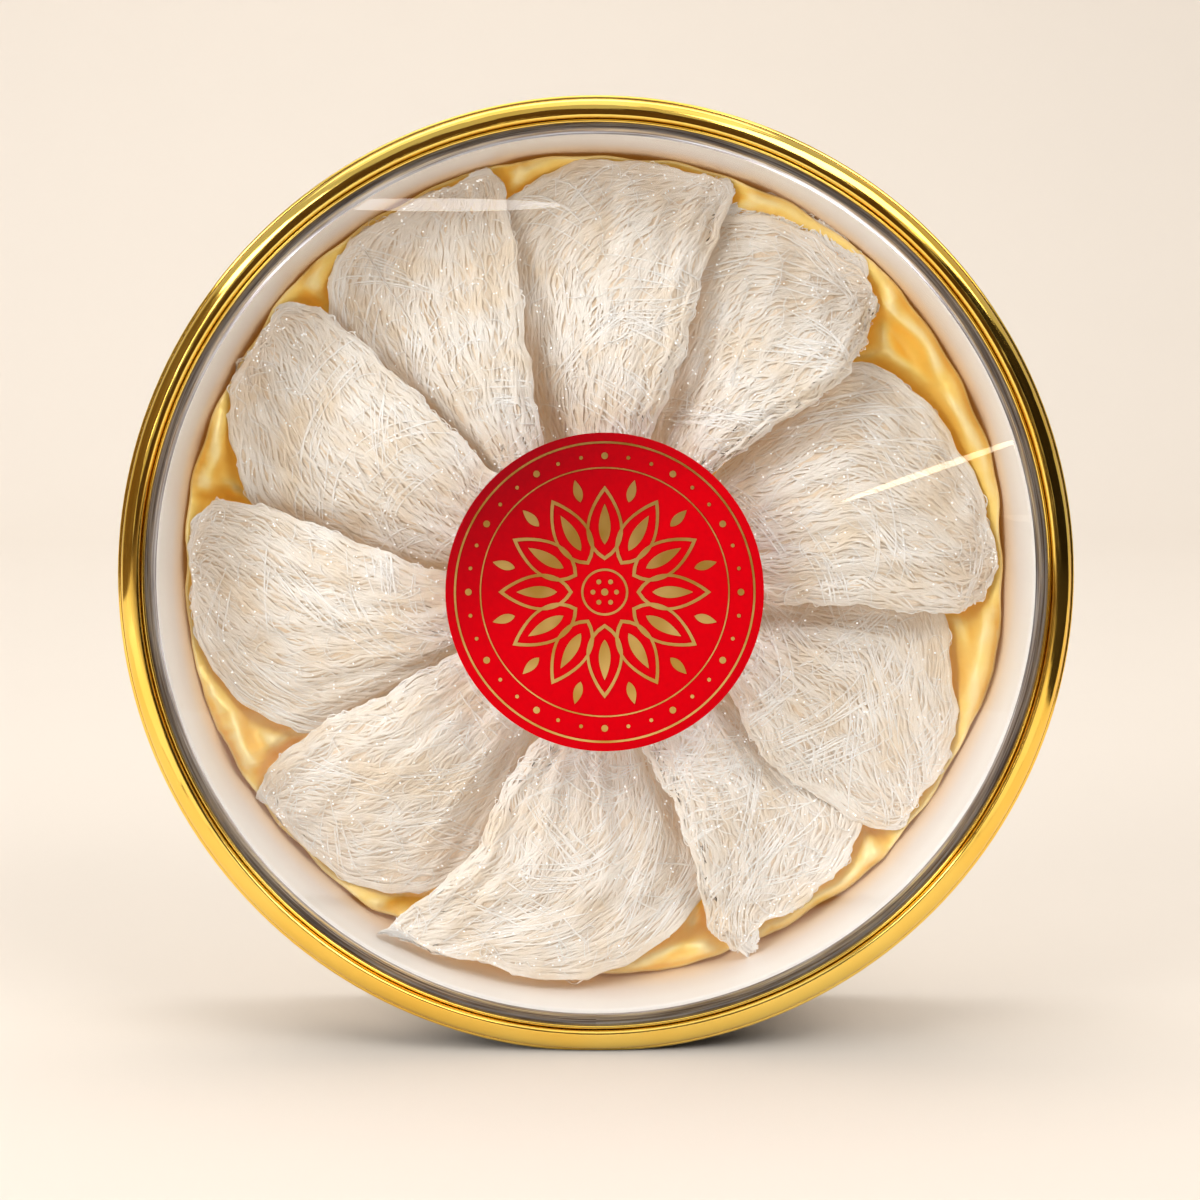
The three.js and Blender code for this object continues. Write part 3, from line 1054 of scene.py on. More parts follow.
@dataclass
class SatinLining:
    """Satin tucked into the tray, flat under the nests and puffed up beside them along the wall."""

    inner_rings: int = 12
    outer_rings: int = 54
    spokes: int = 440
    thickness: float = 0.3 * MM
    even_radius: float = 64 * MM
    hem_radius: float = 95.0 * MM
    hem_front: float = 3.4 * MM
    puff: float = 9.5 * MM
    seed: int = 7

    def build(self) -> bpy.types.Object:
        """Builds the cloth and thickens it."""
        rng = np.random.default_rng(self.seed)
        angle = np.arange(self.spokes) / self.spokes * TURN
        flat_part = np.linspace(0.03, 1, self.inner_rings, endpoint=False) * self.even_radius
        full_part = np.linspace(self.even_radius, self.hem_radius, self.outer_rings)
        radius = np.concatenate([flat_part, full_part])[:, None]
        out = np.clip((radius - self.even_radius) / (self.hem_radius - self.even_radius), 0, 1)
        gap = nest_gap(radius * np.sin(angle) / MM, radius * np.cos(angle) / MM)
        hem = self.hem_front + self.wave(angle, rng, (5, 9, 14, 23), 1.1 * MM)
        rise = smooth_step((out - 0.72) / 0.28)
        y = BOX.satin_y + (hem - BOX.satin_y) * rise
        bell = smooth_step((out - 0.1) / 0.5) * (1 - smooth_step((out - 0.93) / 0.07) * 0.45)
        fullness = 0.72 + self.wave(angle, rng, (3, 7, 11, 19), 0.3)
        loose = smooth_step(gap / 5.0)
        drift = self.wave(angle, rng, (2, 5, 8, 13), 1.0)
        inset = self.hem_radius - radius
        along_wall = 0
        for place_in, width, height in ((4.2, 1.9, 1.5), (10.5, 2.6, 1.3), (17.5, 2.8, 1.2)):
            crest = (place_in + self.wave(angle, rng, (3, 8, 15, 27), 2.6)) * MM
            swell = 1 + self.wave(angle, rng, (11, 24, 41, 62), 0.5)
            along_wall = along_wall + height * swell * np.exp(-((inset - crest) / (width * MM)) ** 2)
        pinched = np.abs(np.sin(31 * angle + 3 * drift + 9 * out * np.sin(3 * angle + drift)))
        pleats = (1 - pinched ** 0.5) * smooth_step(self.wave(angle, rng, (4, 9, 17), 1.0) + 0.6)
        folds = 1.7 * MM * (along_wall - 0.6) - 0.9 * MM * pleats
        lift = loose * bell * (self.puff * fullness + folds) + (1 - loose) * 0.25 * MM * along_wall * rise
        y = np.minimum(y - lift, BOX.tray_floor_y - 1.2 * MM)
        free = 1 - 0.95 * smooth_step((out - 0.88) / 0.12)
        inward = rise * free * (0.8 * MM + 0.6 * MM * (pleats + along_wall) * loose)
        lumps = 0.6 + self.wave(angle, rng, (5, 12, 23, 41), 1.6)
        r = radius - inward - 0.6 * MM * np.maximum(lumps, 0) * smooth_step((out - 0.86) / 0.14)
        points = np.stack([
            r * np.sin(angle), np.broadcast_to(y, r.shape), BOX.axis_height + r * np.cos(angle),
        ], -1).reshape(-1, 3)
        rings = len(radius)
        middle = len(points)
        points = np.vstack([points, [0, BOX.satin_y, BOX.axis_height]])
        faces = [ring_faces(rings, self.spokes), fan_faces(middle, 0, self.spokes)]
        cloth = mesh_piece("satin_cloth", points, faces, [SatinCloth().material()])
        solid = cloth.modifiers.new("thickness", "SOLIDIFY")
        solid.thickness = self.thickness
        solid.offset = 0
        place(cloth, "satin", "satin_lining")
        return cloth

    @staticmethod
    def wave(angle: Array, rng: np.random.Generator, counts: tuple[int, ...], size: float) -> Array:
        """A sum of waves round the box.

        Args:
            angle: the angles to work it out at.
            rng: the source of the waves' phases.
            counts: how many times each wave repeats in a turn.
            size: how far the waves reach together.

        Returns:
            The waves' sum at each angle.
        """
        total = sum(np.sin(count * angle + rng.uniform(0, TURN)) for count in counts)
        return total * size / len(counts)


@dataclass
class Nest:
    """One nest: a thin shell of strands, humped, with a crisp free edge over its neighbour.

    Places on it are given by along, from the middle of the box outwards, and across, from the
    hidden edge to the free one. All its lengths are in millimetres until its mesh is made.

    Attributes:
        form: its outline.
        number: its place in the ring.
        crest_y: the y of its ridge near the middle of the box.
        tuck_y: the y of its hidden edge there.
        tuck_end_y: the y of its hidden edge at the outer end.
        crest_at: how far across the ridge runs.
        crest_fall: how much of its height it loses from the ridge to the free edge.
        reach: how far from the box's axis it may reach.
        thickness: the greatest thickness of its shell.
        rows: how many steps its shell has along.
        columns: how many it has across.
        spacing: how far apart the deeper strands lie.
        top_spacing: how far apart the strands on top lie.
        pole: how far across the outer end the strands run together.
        flatness: a strand's height for its width.
        softness: how much of a strand's shading follows the nest and not the strand.
        corner_power: how square the outer corners' rounding is.
    """

    form: NestForm
    number: int
    crest_y: float = -12
    tuck_y: float = 3
    tuck_end_y: float = 5
    crest_at: float = 0.82
    crest_fall: float = 0.1
    reach: float = 93.2
    thickness: float = 3.2
    rows: int = 56
    columns: int = 32
    spacing: float = 1.3
    top_spacing: float = 1.45
    pole: float = 0.8
    flatness: float = 0.6
    softness: float = 0.68
    corner_power: float = 2.6

    def __post_init__(self) -> None:
        """Seeds the nest's own irregularity."""
        self.rng = np.random.default_rng(100 + self.number)
        self.phase = self.rng.uniform(0, TURN, 12)
        self.edges = {side: np.array(getattr(self.form, side), float) for side in ("free", "hidden", "outer")}
        self.lay_flow()

    def flat(self, along: Array, across: Array) -> Array:
        """The place seen from the front, as x and z from the box's axis."""
        along, across = self.rounded(along, across)
        hidden, free, outer = (curve_through(self.edges[side], t) for side, t in
                               (("hidden", along), ("free", along), ("outer", across)))
        u, v = along[..., None], across[..., None]
        corner_hidden, corner_free = self.edges["hidden"][-1], self.edges["free"][-1]
        flat = hidden * (1 - v) + free * v + outer * u - corner_hidden * u * (1 - v) - corner_free * u * v
        p = self.phase
        ragged = 0.45 * np.sin(TURN * along * 6.1 + p[9]) + 0.3 * np.sin(TURN * along * 13.7 + p[10])
        flat = flat + unit(free - hidden, SMALL) * (ragged * smooth_step((across - 0.75) / 0.25))[..., None]
        ragged = 0.5 * np.sin(TURN * across * 4.3 + p[11]) + 0.3 * np.sin(TURN * across * 9.1 + p[9])
        flat = flat + unit(flat, SMALL) * (ragged * smooth_step((along - 0.8) / 0.2))[..., None]
        size = np.linalg.norm(flat, axis=-1, keepdims=True)
        return flat * np.minimum(1, self.reach / np.maximum(size, SMALL))

    def rounded(self, along: Array, across: Array) -> tuple[Array, Array]:
        """Rounds the corners of the outer end.

        Args:
            along: places from the middle outwards.
            across: places from the hidden edge to the free one.

        Returns:
            The same places drawn in from the corners.
        """
        reach = self.form.corner
        end = np.clip((along - 1 + reach) / reach, 0, 1)
        side = np.clip((np.abs(2 * across - 1) - 1 + 2 * reach) / (2 * reach), 0, 1)
        largest = np.maximum(end, side)
        power = self.corner_power
        rounded = (end ** power + side ** power) ** (1 / power)
        draw = np.where(rounded > SMALL, largest / np.maximum(rounded, SMALL), 1)
        new_end, new_side = end * draw, side * draw
        towards = np.sign(across - 0.5)
        return along - (end - new_end) * reach, across - towards * (side - new_side) * reach

    def relief(self, along: Array, across: Array) -> Array:
        """How far locks and dents stand proud of the plain form."""
        p = self.phase
        drift = 0.35 * np.sin(TURN * along * 0.8 + p[0]) + 0.2 * np.sin(TURN * along * 1.9 + p[1])
        locks = 0.38 * np.sin(TURN * (4.6 * across + drift) + p[2])
        locks += 0.24 * np.sin(TURN * (9.1 * across - 0.7 * drift + 0.6 * along) + p[3])
        dents = 0.7 * np.sin(TURN * (1.3 * across + 0.7 * along) + p[4]) * np.sin(TURN * 1.1 * along + p[5])
        margin = np.minimum(np.minimum(across, 1 - across), np.minimum(along, 1 - along))
        return (locks + dents) * smooth_step(margin / 0.12)

    def surface(self, along: Array, across: Array) -> Array:
        """The place on the nest's front in millimetres, with y to the back."""
        flat = self.flat(along, across)
        crest = self.crest_y + (self.form.crest_end - self.crest_y) * smooth_step((along - 0.4) / 0.6)
        tuck = self.tuck_y + (self.tuck_end_y - self.tuck_y) * along
        climb = np.where(
            across < self.crest_at,
            1 - (1 - across / self.crest_at) ** 2,
            1 - self.crest_fall * ((across - self.crest_at) / (1 - self.crest_at)) ** 2,
        )
        y = tuck + (crest - tuck) * climb - self.relief(along, across)
        return np.stack([flat[..., 0], y, flat[..., 1]], -1)

    def frames(self, along: Array, across: Array) -> tuple[Array, Array, Array, Array]:
        """The surface and its directions.

        Args:
            along: places from the middle outwards.
            across: places from the hidden edge to the free one.

        Returns:
            The places, the outward normals, and the slopes along and across, a millimetre a unit.
        """
        step = 0.01
        a, b = np.clip(along, step, 1 - step), np.clip(across, step, 1 - step)
        slope_along = (self.surface(a + step, b) - self.surface(a - step, b)) / (2 * step)
        slope_across = (self.surface(a, b + step) - self.surface(a, b - step)) / (2 * step)
        normal = unit(np.cross(slope_across, slope_along))
        normal *= np.where(normal[..., 1:2] > 0, -1.0, 1.0)
        return self.surface(along, across), normal, slope_along, slope_across

    def width(self, s: float) -> float:
        """The width of the strands' flow in millimetres at a place along it."""
        w = np.linspace(0, 1, 12)
        line = self.surface(*self.follow(np.full_like(w, s), w))
        return float(np.linalg.norm(np.diff(line, axis=0), axis=-1).sum())

    def lay_flow(self) -> None:
        """Works out how strands flow: from the inner end, both sides converging on the outer tip."""
        s, w = np.meshgrid(np.linspace(0, 1, FLOW_STEPS), np.linspace(0, 1, FLOW_STEPS), indexing="ij")
        fine, zero = np.linspace(0, 1, 90), np.zeros(90)
        outer = self.flat(zero + 1, fine)
        pole = int(self.pole * (len(fine) - 1))
        low = even_line(np.vstack([self.flat(fine, zero), outer[1:pole + 1]]))
        high = even_line(np.vstack([self.flat(fine, zero + 1), outer[pole:-1][::-1]]))
        goal = curve_through(low, s) * (1 - w[..., None]) + curve_through(high, s) * w[..., None]
        u, v = s * 0.98 + 0.01, w * 0.96 + 0.02
        step, rounds, share, furthest = 0.004, 30, 0.6, 0.1
        for _ in range(rounds):
            here = self.flat(u, v)
            slope_u = (self.flat(u + step, v) - here) / step
            slope_v = (self.flat(u, v + step) - here) / step
            miss = goal - here
            det = slope_u[..., 0] * slope_v[..., 1] - slope_u[..., 1] * slope_v[..., 0]
            det = np.where(np.abs(det) < 1, np.sign(det) + (det == 0), det)
            du = (miss[..., 0] * slope_v[..., 1] - miss[..., 1] * slope_v[..., 0]) / det
            dv = (slope_u[..., 0] * miss[..., 1] - slope_u[..., 1] * miss[..., 0]) / det
            u = np.clip(u + share * np.clip(du, -furthest, furthest), 0, 1 - step)
            v = np.clip(v + share * np.clip(dv, -furthest, furthest), 0, 1 - step)
        self.flow = np.stack([u, v], -1)

    def follow(self, s: Array, w: Array) -> tuple[Array, Array]:
        """Places on the nest from places in the strands' flow.

        Args:
            s: how far along the flow, from the inner end to the outer tip.
            w: how far across it, from the hidden side to the free edge.

        Returns:
            The same places as along and across.
        """
        last = FLOW_STEPS - 1
        a, b = np.clip(s, 0, 1) * last, np.clip(w, 0, 1) * last
        i, j = np.minimum(a.astype(int), last - 1), np.minimum(b.astype(int), last - 1)
        fa, fb = (a - i)[..., None], (b - j)[..., None]
        flow = self.flow
        mixed = ((flow[i, j] * (1 - fb) + flow[i, j + 1] * fb) * (1 - fa)
                 + (flow[i + 1, j] * (1 - fb) + flow[i + 1, j + 1] * fb) * fa)
        return mixed[..., 0], mixed[..., 1]

    def shell(self) -> tuple[Array, list[Array], Array]:
        """The matted shell under the strands.

        Returns:
            Its corners in millimetres, its faces and the normals of its corners.
        """
        u, v = np.meshgrid(
            np.linspace(0, 1, self.rows + 1), np.linspace(0, 1, self.columns + 1), indexing="ij",
        )
        place_on, normal, _, _ = self.frames(u, v)
        margin = np.minimum(np.minimum(u, 1 - u), np.minimum(v, 1 - v))[..., None]
        sunk, edge, bevel = 0.18, 0.5, 0.08
        depth = edge + (self.thickness - 1) * smooth_step(margin / bevel)
        front = place_on - normal * sunk
        back = front + np.array([0, 1, 0]) * depth
        row = self.columns + 1
        layer = row * (self.rows + 1)
        i, j = np.meshgrid(np.arange(self.rows), np.arange(self.columns), indexing="ij")
        k = (i * row + j).ravel()
        front_faces = np.stack([k, k + 1, k + row + 1, k + row], -1)
        back_faces = layer + front_faces[:, ::-1]
        border = np.concatenate([
            np.arange(self.columns), np.arange(self.rows) * row + self.columns,
            self.rows * row + np.arange(self.columns, 0, -1), np.arange(self.rows, 0, -1) * row,
        ])
        after = np.roll(border, -1)
        side = np.stack([border, layer + border, layer + after, after], -1)
        points = np.concatenate([front.reshape(-1, 3), back.reshape(-1, 3)])
        normals = np.concatenate([normal.reshape(-1, 3), -normal.reshape(-1, 3)])
        return points, [np.concatenate([front_faces, back_faces, side])], normals

    def net(self, kind: Strand) -> tuple[Array, Array, Array]:
        """Strands that run along the nest in a shallow net.

        Args:
            kind: GROUND for the deeper layer, NET for the top one.

        Returns:
            Their places in millimetres, their normals and their radii.
        """
        rng = self.rng
        top = kind is Strand.NET
        steps = kind.value.steps
        rows, span, waves = 9, 0.36, 9.5
        lean = 0.05 if top else -0.07
        alongs, acrosses, heights, radii = [], [], [], []
        for row in range(rows):
            middle = -0.02 + (row + 0.5) * (1.04 / rows)
            wide = max(self.width(min(max(middle, 0.02), 0.98)), 6.0)
            count = max(int(wide / (self.top_spacing if top else self.spacing)), 6)
            k = np.arange(count)
            start = middle - span / 2 + rng.normal(0, 0.035, count)
            u = start[:, None] + np.linspace(0, span, steps)[None, :] * rng.uniform(0.75, 1.2, (count, 1))
            u = np.clip(u, 0.0, 1.0)
            v = np.broadcast_to(((k + 0.5) / count + rng.normal(0, 0.004, count))[:, None], u.shape)
            v = v + lean * (u - middle) + 0.02 * np.sin(TURN * (u * 1.3 + 0.8 * v) + self.phase[6])
            v = v + self.gather(u, v)
            wave = TURN * u * waves + math.pi * k[:, None] + rng.normal(0, 0.5, (count, 1)) + 5 * v
            swing = rng.uniform(0.35, 0.85, (count, 1)) / wide
            v = np.clip(v + swing * np.sin(wave), 0.004, 0.996)
            lift = 0.16 + 0.13 * np.cos(wave) + rng.uniform(-0.06, 0.16, (count, 1)) if top \
                else -0.12 + 0.08 * np.cos(wave) + rng.uniform(-0.08, 0.08, (count, 1))
            alongs.append(u)
            acrosses.append(v)
            heights.append(lift)
            radii.append(self.radii(kind, u.shape))
        u, v, lift, radius = (np.concatenate(part) for part in (alongs, acrosses, heights, radii))
        place_on, normal, _, _ = self.frames(*self.follow(u, v))
        return place_on + normal * lift[..., None], normal, radius

    def gather(self, along: Array, across: Array) -> Array:
        """How far strands shift across to bunch into locks."""
        locks, share = 6.5, 0.62
        slow = 0.5 * np.sin(TURN * along * 0.9 + self.phase[7])
        drift = slow + 0.25 * np.sin(TURN * along * 2.3 + self.phase[8])
        return share * np.sin(TURN * (locks * across + drift)) / (TURN * locks)

    def crossing(self) -> tuple[Array, Array, Array]:
        """Fine strands that run across the others, in small groups.

        Returns:
            Their places in millimetres, their normals and their radii.
        """
        rng = self.rng
        count, steps = self.form.cross, Strand.CROSS.value.steps
        groups = max(count // 6, 1)
        group = rng.integers(0, groups, count)
        middle_u = rng.uniform(0.2, 0.95, groups)[group] + rng.normal(0, 0.03, count)
        middle_v = rng.uniform(0.1, 0.92, groups)[group] + rng.normal(0, 0.04, count)
        heading = rng.uniform(0.7, 1.5, groups)[group] * rng.choice([-1, 1], groups)[group]
        heading = heading + rng.normal(0, 0.07, count)
        length = rng.uniform(9, 26, count)
        _, _, slope_u, slope_v = self.frames(np.clip(middle_u, 0, 1), np.clip(middle_v, 0, 1))
        per_u = np.cos(heading) / np.linalg.norm(slope_u, axis=-1)
        per_v = np.sin(heading) / np.linalg.norm(slope_v, axis=-1)
        t = np.linspace(-0.5, 0.5, steps)[None, :] * length[:, None]
        bow = rng.normal(0, 0.004, (count, 1)) * (1 - (2 * t / length[:, None]) ** 2)
        u = np.clip(middle_u[:, None] + per_u[:, None] * t + bow, 0.01, 0.99)
        v = np.clip(middle_v[:, None] + per_v[:, None] * t, 0.01, 0.99)
        place_on, normal, _, _ = self.frames(u, v)
        lift = rng.uniform(0.32, 0.5, (count, 1, 1))
        return place_on + normal * lift, normal, self.radii(Strand.CROSS, u.shape)

    def fuzz(self) -> tuple[Array, Array, Array]:
        """Short fine fibres that curl over the strands.

        Returns:
            Their places in millimetres, their normals and their radii.
        """
        rng = self.rng
        count, steps = Strand.FUZZ.value.count, Strand.FUZZ.value.steps
        s, w = rng.uniform(0.05, 0.97, count), rng.uniform(0.04, 0.97, count)
        middle_u, middle_v = self.follow(s, w)
        _, _, slope_u, slope_v = self.frames(middle_u, middle_v)
        heading = rng.normal(0, 0.7, count) + math.pi * 0.5 * (rng.random(count) < 0.3)
        curl = rng.normal(0, 1.1, count)
        length = rng.uniform(2.5, 9, count)
        t = np.linspace(-0.5, 0.5, steps)
        bearing = heading[:, None] + curl[:, None] * t
        stride = length[:, None] / steps
        per_u, per_v = (np.linalg.norm(slope, axis=-1)[:, None] for slope in (slope_u, slope_v))
        u = middle_u[:, None] + np.cumsum(np.cos(bearing) * stride, 1) / per_u
        v = middle_v[:, None] + np.cumsum(np.sin(bearing) * stride, 1) / per_v
        place_on, normal, _, _ = self.frames(np.clip(u, 0.005, 0.995), np.clip(v, 0.005, 0.995))
        lift = rng.uniform(0.3, 0.5, (count, 1)) + rng.uniform(0, 0.35, (count, 1)) * (1 - (2 * t) ** 2)
        return place_on + normal * lift[..., None], normal, self.radii(Strand.FUZZ, u.shape)

    def fringe(self) -> tuple[Array, Array, Array]:
        """Fine loops that stand out from the free edge and the outer end.

        Returns:
            Their places in millimetres, their normals and their radii.
        """
        rng = self.rng
        count, steps = Strand.FRINGE.value.count, Strand.FRINGE.value.steps
        at_end = rng.random(count) < 0.4
        start = rng.uniform(0.03, 0.97, count)
        span = rng.uniform(0.015, 0.06, count) * rng.choice([-1, 1], count)
        t = np.linspace(0, 1, steps)
        run = np.clip(start[:, None] + span[:, None] * t, 0, 1)
        edge, inset = 0.995, 0.93
        u = np.where(at_end[:, None], edge, run)
        v = np.where(at_end[:, None], run, edge)
        place_on, normal, _, _ = self.frames(u, v)
        inner = self.surface(np.where(at_end[:, None], inset, run), np.where(at_end[:, None], run, inset))
        out = unit(place_on - inner, SMALL)
        height = rng.uniform(0.1, 1.3, (count, 1)) * np.sin(math.pi * t) - 0.3
        lift = rng.uniform(-0.9, 0.5, (count, 1)) + rng.normal(0, 0.4, (count, 1)) * np.sin(math.pi * t)
        places = place_on + out * height[..., None] + normal * lift[..., None]
        return places, normal, self.radii(Strand.FRINGE, u.shape)

    def lace(self) -> tuple[Array, Array, Array]:
        """Thin frayed strands that reach out from a stretch of the outer end.

        Returns:
            Their places in millimetres, their normals and their radii.
        """
        rng = self.rng
        start, end, reach = self.form.lace
        count, steps = int(90 + 110 * (end - start)), Strand.LACE.value.steps
        t = np.linspace(0, 1, steps)
        run = np.clip(rng.random((count, 1)) + rng.normal(0, 0.3, (count, 1)) * (t - 0.5), 0, 1)
        v = start + (end - start) * run
        taper = np.sqrt(np.sin(math.pi * (0.03 + 0.94 * run)))
        stand = rng.random((count, 1))
        looped = np.sin(math.pi * t) * (0.5 + 0.5 * stand)
        level = stand + 0.12 * np.sin(TURN * 1.5 * t + TURN * stand)
        height = reach * taper * np.where(rng.random((count, 1)) < 0.5, looped, level) - 0.4
        edge, inset = 0.995, 0.93
        place_on, normal, _, _ = self.frames(np.full_like(v, edge), v)
        out = unit(place_on - self.surface(np.full_like(v, inset), v), SMALL)
        lift = rng.normal(0, 0.25, (count, 1)) + 0.1 * height
        places = place_on + out * height[..., None] + normal * lift[..., None]
        return places, normal, self.radii(Strand.LACE, v.shape)

    def rolled_edge(self, kind: Strand) -> tuple[Array, Array, Array]:
        """Strands that run along the free edge or wrap the outer end.

        Args:
            kind: RIM for the free edge, WRAP for the outer end.

        Returns:
            Their places in millimetres, their normals and their radii.
        """
        rng = self.rng
        rim = kind is Strand.RIM
        count, steps = kind.value.count, kind.value.steps
        span = 0.36 if rim else 0.3
        roll = 0.9 if rim else 1.1
        start = rng.uniform(-0.15, 0.85, (count, 1)) if rim else rng.uniform(0.3, 0.85, (count, 1))
        t = np.clip(start + np.linspace(0, span, steps)[None, :] * rng.uniform(0.7, 1.2, (count, 1)), 0, 1)
        inset = np.abs(rng.normal(0, 0.016 if rim else 0.02, (count, 1))) + 0.004
        wave = 0.006 * np.sin(TURN * t * 6 + rng.uniform(0, TURN, (count, 1)))
        edge = np.clip(inset + wave, 0, 1)
        edge = 1 - edge if rim else edge
        place_on, normal, _, _ = self.frames(*self.follow(t, edge))
        inner = self.surface(*self.follow(t, np.clip(edge - 0.05 if rim else edge + 0.05, 0, 1)))
        out = unit(place_on - inner, SMALL)
        turn = rng.uniform(-1.2, 1.35, (count, 1))
        turn = turn + 0.5 * np.sin(TURN * t * 2 + rng.uniform(0, TURN, (count, 1)))
        shift = roll * (np.cos(turn)[..., None] * out * 0.7 + (np.sin(turn) - 0.55)[..., None] * normal)
        return place_on + shift, normal, self.radii(kind, t.shape)

    def glint_beads(self) -> tuple[Array, list[Array], Array]:
        """Tiny beads where strands cross, which glow white as painted glints.

        Returns:
            Their corners in millimetres, their faces and the normals of their corners.
        """
        rng = self.rng
        form = Strand.BEAD.value
        count = form.count
        along, across = self.follow(rng.uniform(0.08, 0.97, count), rng.uniform(0.05, 0.98, count))
        place_on, normal, _, _ = self.frames(along, across)
        middle = place_on + normal * rng.uniform(0.35, 0.6, (count, 1))
        away = np.vstack([np.eye(3), -np.eye(3)])
        corners = middle[:, None] + away * rng.uniform(form.thinnest, form.thickest, (count, 1, 1))
        belt = (0, 1, 3, 4)
        pairs = list(zip(belt, belt[1:] + belt[:1]))
        sides = np.array([[a, b, 2] for a, b in pairs] + [[b, a, 5] for a, b in pairs])
        faces = (np.arange(count) * 6)[:, None, None] + sides
        return corners.reshape(-1, 3), [faces.reshape(-1, 3)], np.tile(away, (count, 1))

    def radii(self, kind: Strand, shape: tuple[int, int]) -> Array:
        """The radii of one kind's strands, drawn at random and thinned towards both ends.

        Args:
            kind: the strands' kind.
            shape: how many strands there are, and how many places along each.

        Returns:
            The radii in millimetres, in that shape.
        """
        radius = self.rng.uniform(kind.value.thinnest, kind.value.thickest, (shape[0], 1))
        t = np.linspace(0, 1, shape[1])
        return radius * (0.3 + 0.7 * np.minimum(1, 5 * np.minimum(t, 1 - t)))

    def tubes(self, places: Array, normals: Array, radii: Array) -> tuple[Array, list[Array], Array]:
        """Closed three-sided tubes along strands, flattened on the nest.

        Args:
            places: the strands' places, strand by step by axis.
            normals: which way is up on the nest at each.
            radii: the strands' radii at each.

        Returns:
            Their corners, their faces and the softened normals of their corners.
        """
        count, steps, _ = places.shape
        ahead = unit(np.gradient(places, axis=1))
        side = unit(np.cross(ahead, normals))
        up = np.cross(side, ahead)
        angles = np.array([0.25, 0.25 + 1 / 3, 0.25 + 2 / 3]) * TURN
        corners = places[:, :, None] + radii[..., None, None] * (
            np.cos(angles)[:, None] * side[:, :, None]
            + self.flatness * np.sin(angles)[:, None] * up[:, :, None])
        start = np.arange(count) * steps * 3
        first = start[:, None] + np.array([0, 1, 2])
        last = start[:, None] + (steps - 1) * 3 + np.array([2, 1, 0])
        quads = start[:, None, None] + ring_faces(steps, 3)
        lean = np.broadcast_to((normals * self.softness)[:, :, None], corners.shape)
        lean = lean + (corners - places[:, :, None]) / radii[..., None, None] * (1 - self.softness)
        faces = [quads.reshape(-1, 4), np.concatenate([first, last])]
        return corners.reshape(-1, 3), faces, lean.reshape(-1, 3)

    def laid(self, kind: Strand) -> tuple[Array, Array, Array]:
        """The strands of one kind: their places in millimetres, their normals and their radii."""
        if kind in (Strand.GROUND, Strand.NET):
            return self.net(kind)
        if kind in (Strand.RIM, Strand.WRAP):
            return self.rolled_edge(kind)
        return {
            Strand.CROSS: self.crossing, Strand.FUZZ: self.fuzz,
            Strand.FRINGE: self.fringe, Strand.LACE: self.lace,
        }[kind]()

    def build(self, finish: list[bpy.types.Material]) -> bpy.types.Object:
        """Builds the nest in one mesh: its matted shell and its strands.

        Args:
            finish: the finishes in the order of Finish.

        Returns:
            The nest.
        """
        parts, finishes = [self.shell()], [Finish.GROUND.value]
        for kind in Strand:
            parts.append(self.glint_beads() if kind is Strand.BEAD else self.tubes(*self.laid(kind)))
            finishes.append(kind.value.finish.value)
        points, faces, slots, offset = [], [], [], 0
        for (corners, groups, _), slot in zip(parts, finishes):
            points.append(corners)
            for group in groups:
                faces.append(group + offset)
                slots.append(np.full(len(group), slot))
            offset += len(corners)
        placed = np.concatenate(points) * MM + np.array([0, 0, BOX.axis_height])
        nest = mesh_piece(f"nest_woven_{self.number}", placed, faces, finish, np.concatenate(slots))
        normals = unit(np.concatenate([leans for _, _, leans in parts]))
        nest.data.normals_split_custom_set_from_vertices(normals)
        return place(nest, "nest", f"nest_{self.number}")


@dataclass
class NestRing:
    """The ten nests, each over the next one clockwise."""

    forms: tuple[NestForm, ...] = NEST_FORMS

    def build(self) -> None:
        """Builds every nest with shared finishes."""
        white = (1.0, 1.0, 1.0)
        # fine strands: paler, with a stronger painted glow
        fine = NestStrand("nest_strand_fine", (0.98, 0.94, 0.89), (1.0, 0.98, 0.95), (0.96, 0.90, 0.82),
                          (1.0, 0.88, 0.76), 0.3, 0.1)
        # the beads glow pure white as painted glints
        glint_bead = NestStrand("nest_glint_bead", white, white, white, white, 0.14, 0.7)
        finish = [NestStrand().material(), NestGround().material(), fine.material(), glint_bead.material()]
        for number, form in enumerate(self.forms, start=1):
            Nest(form, number).build(finish)


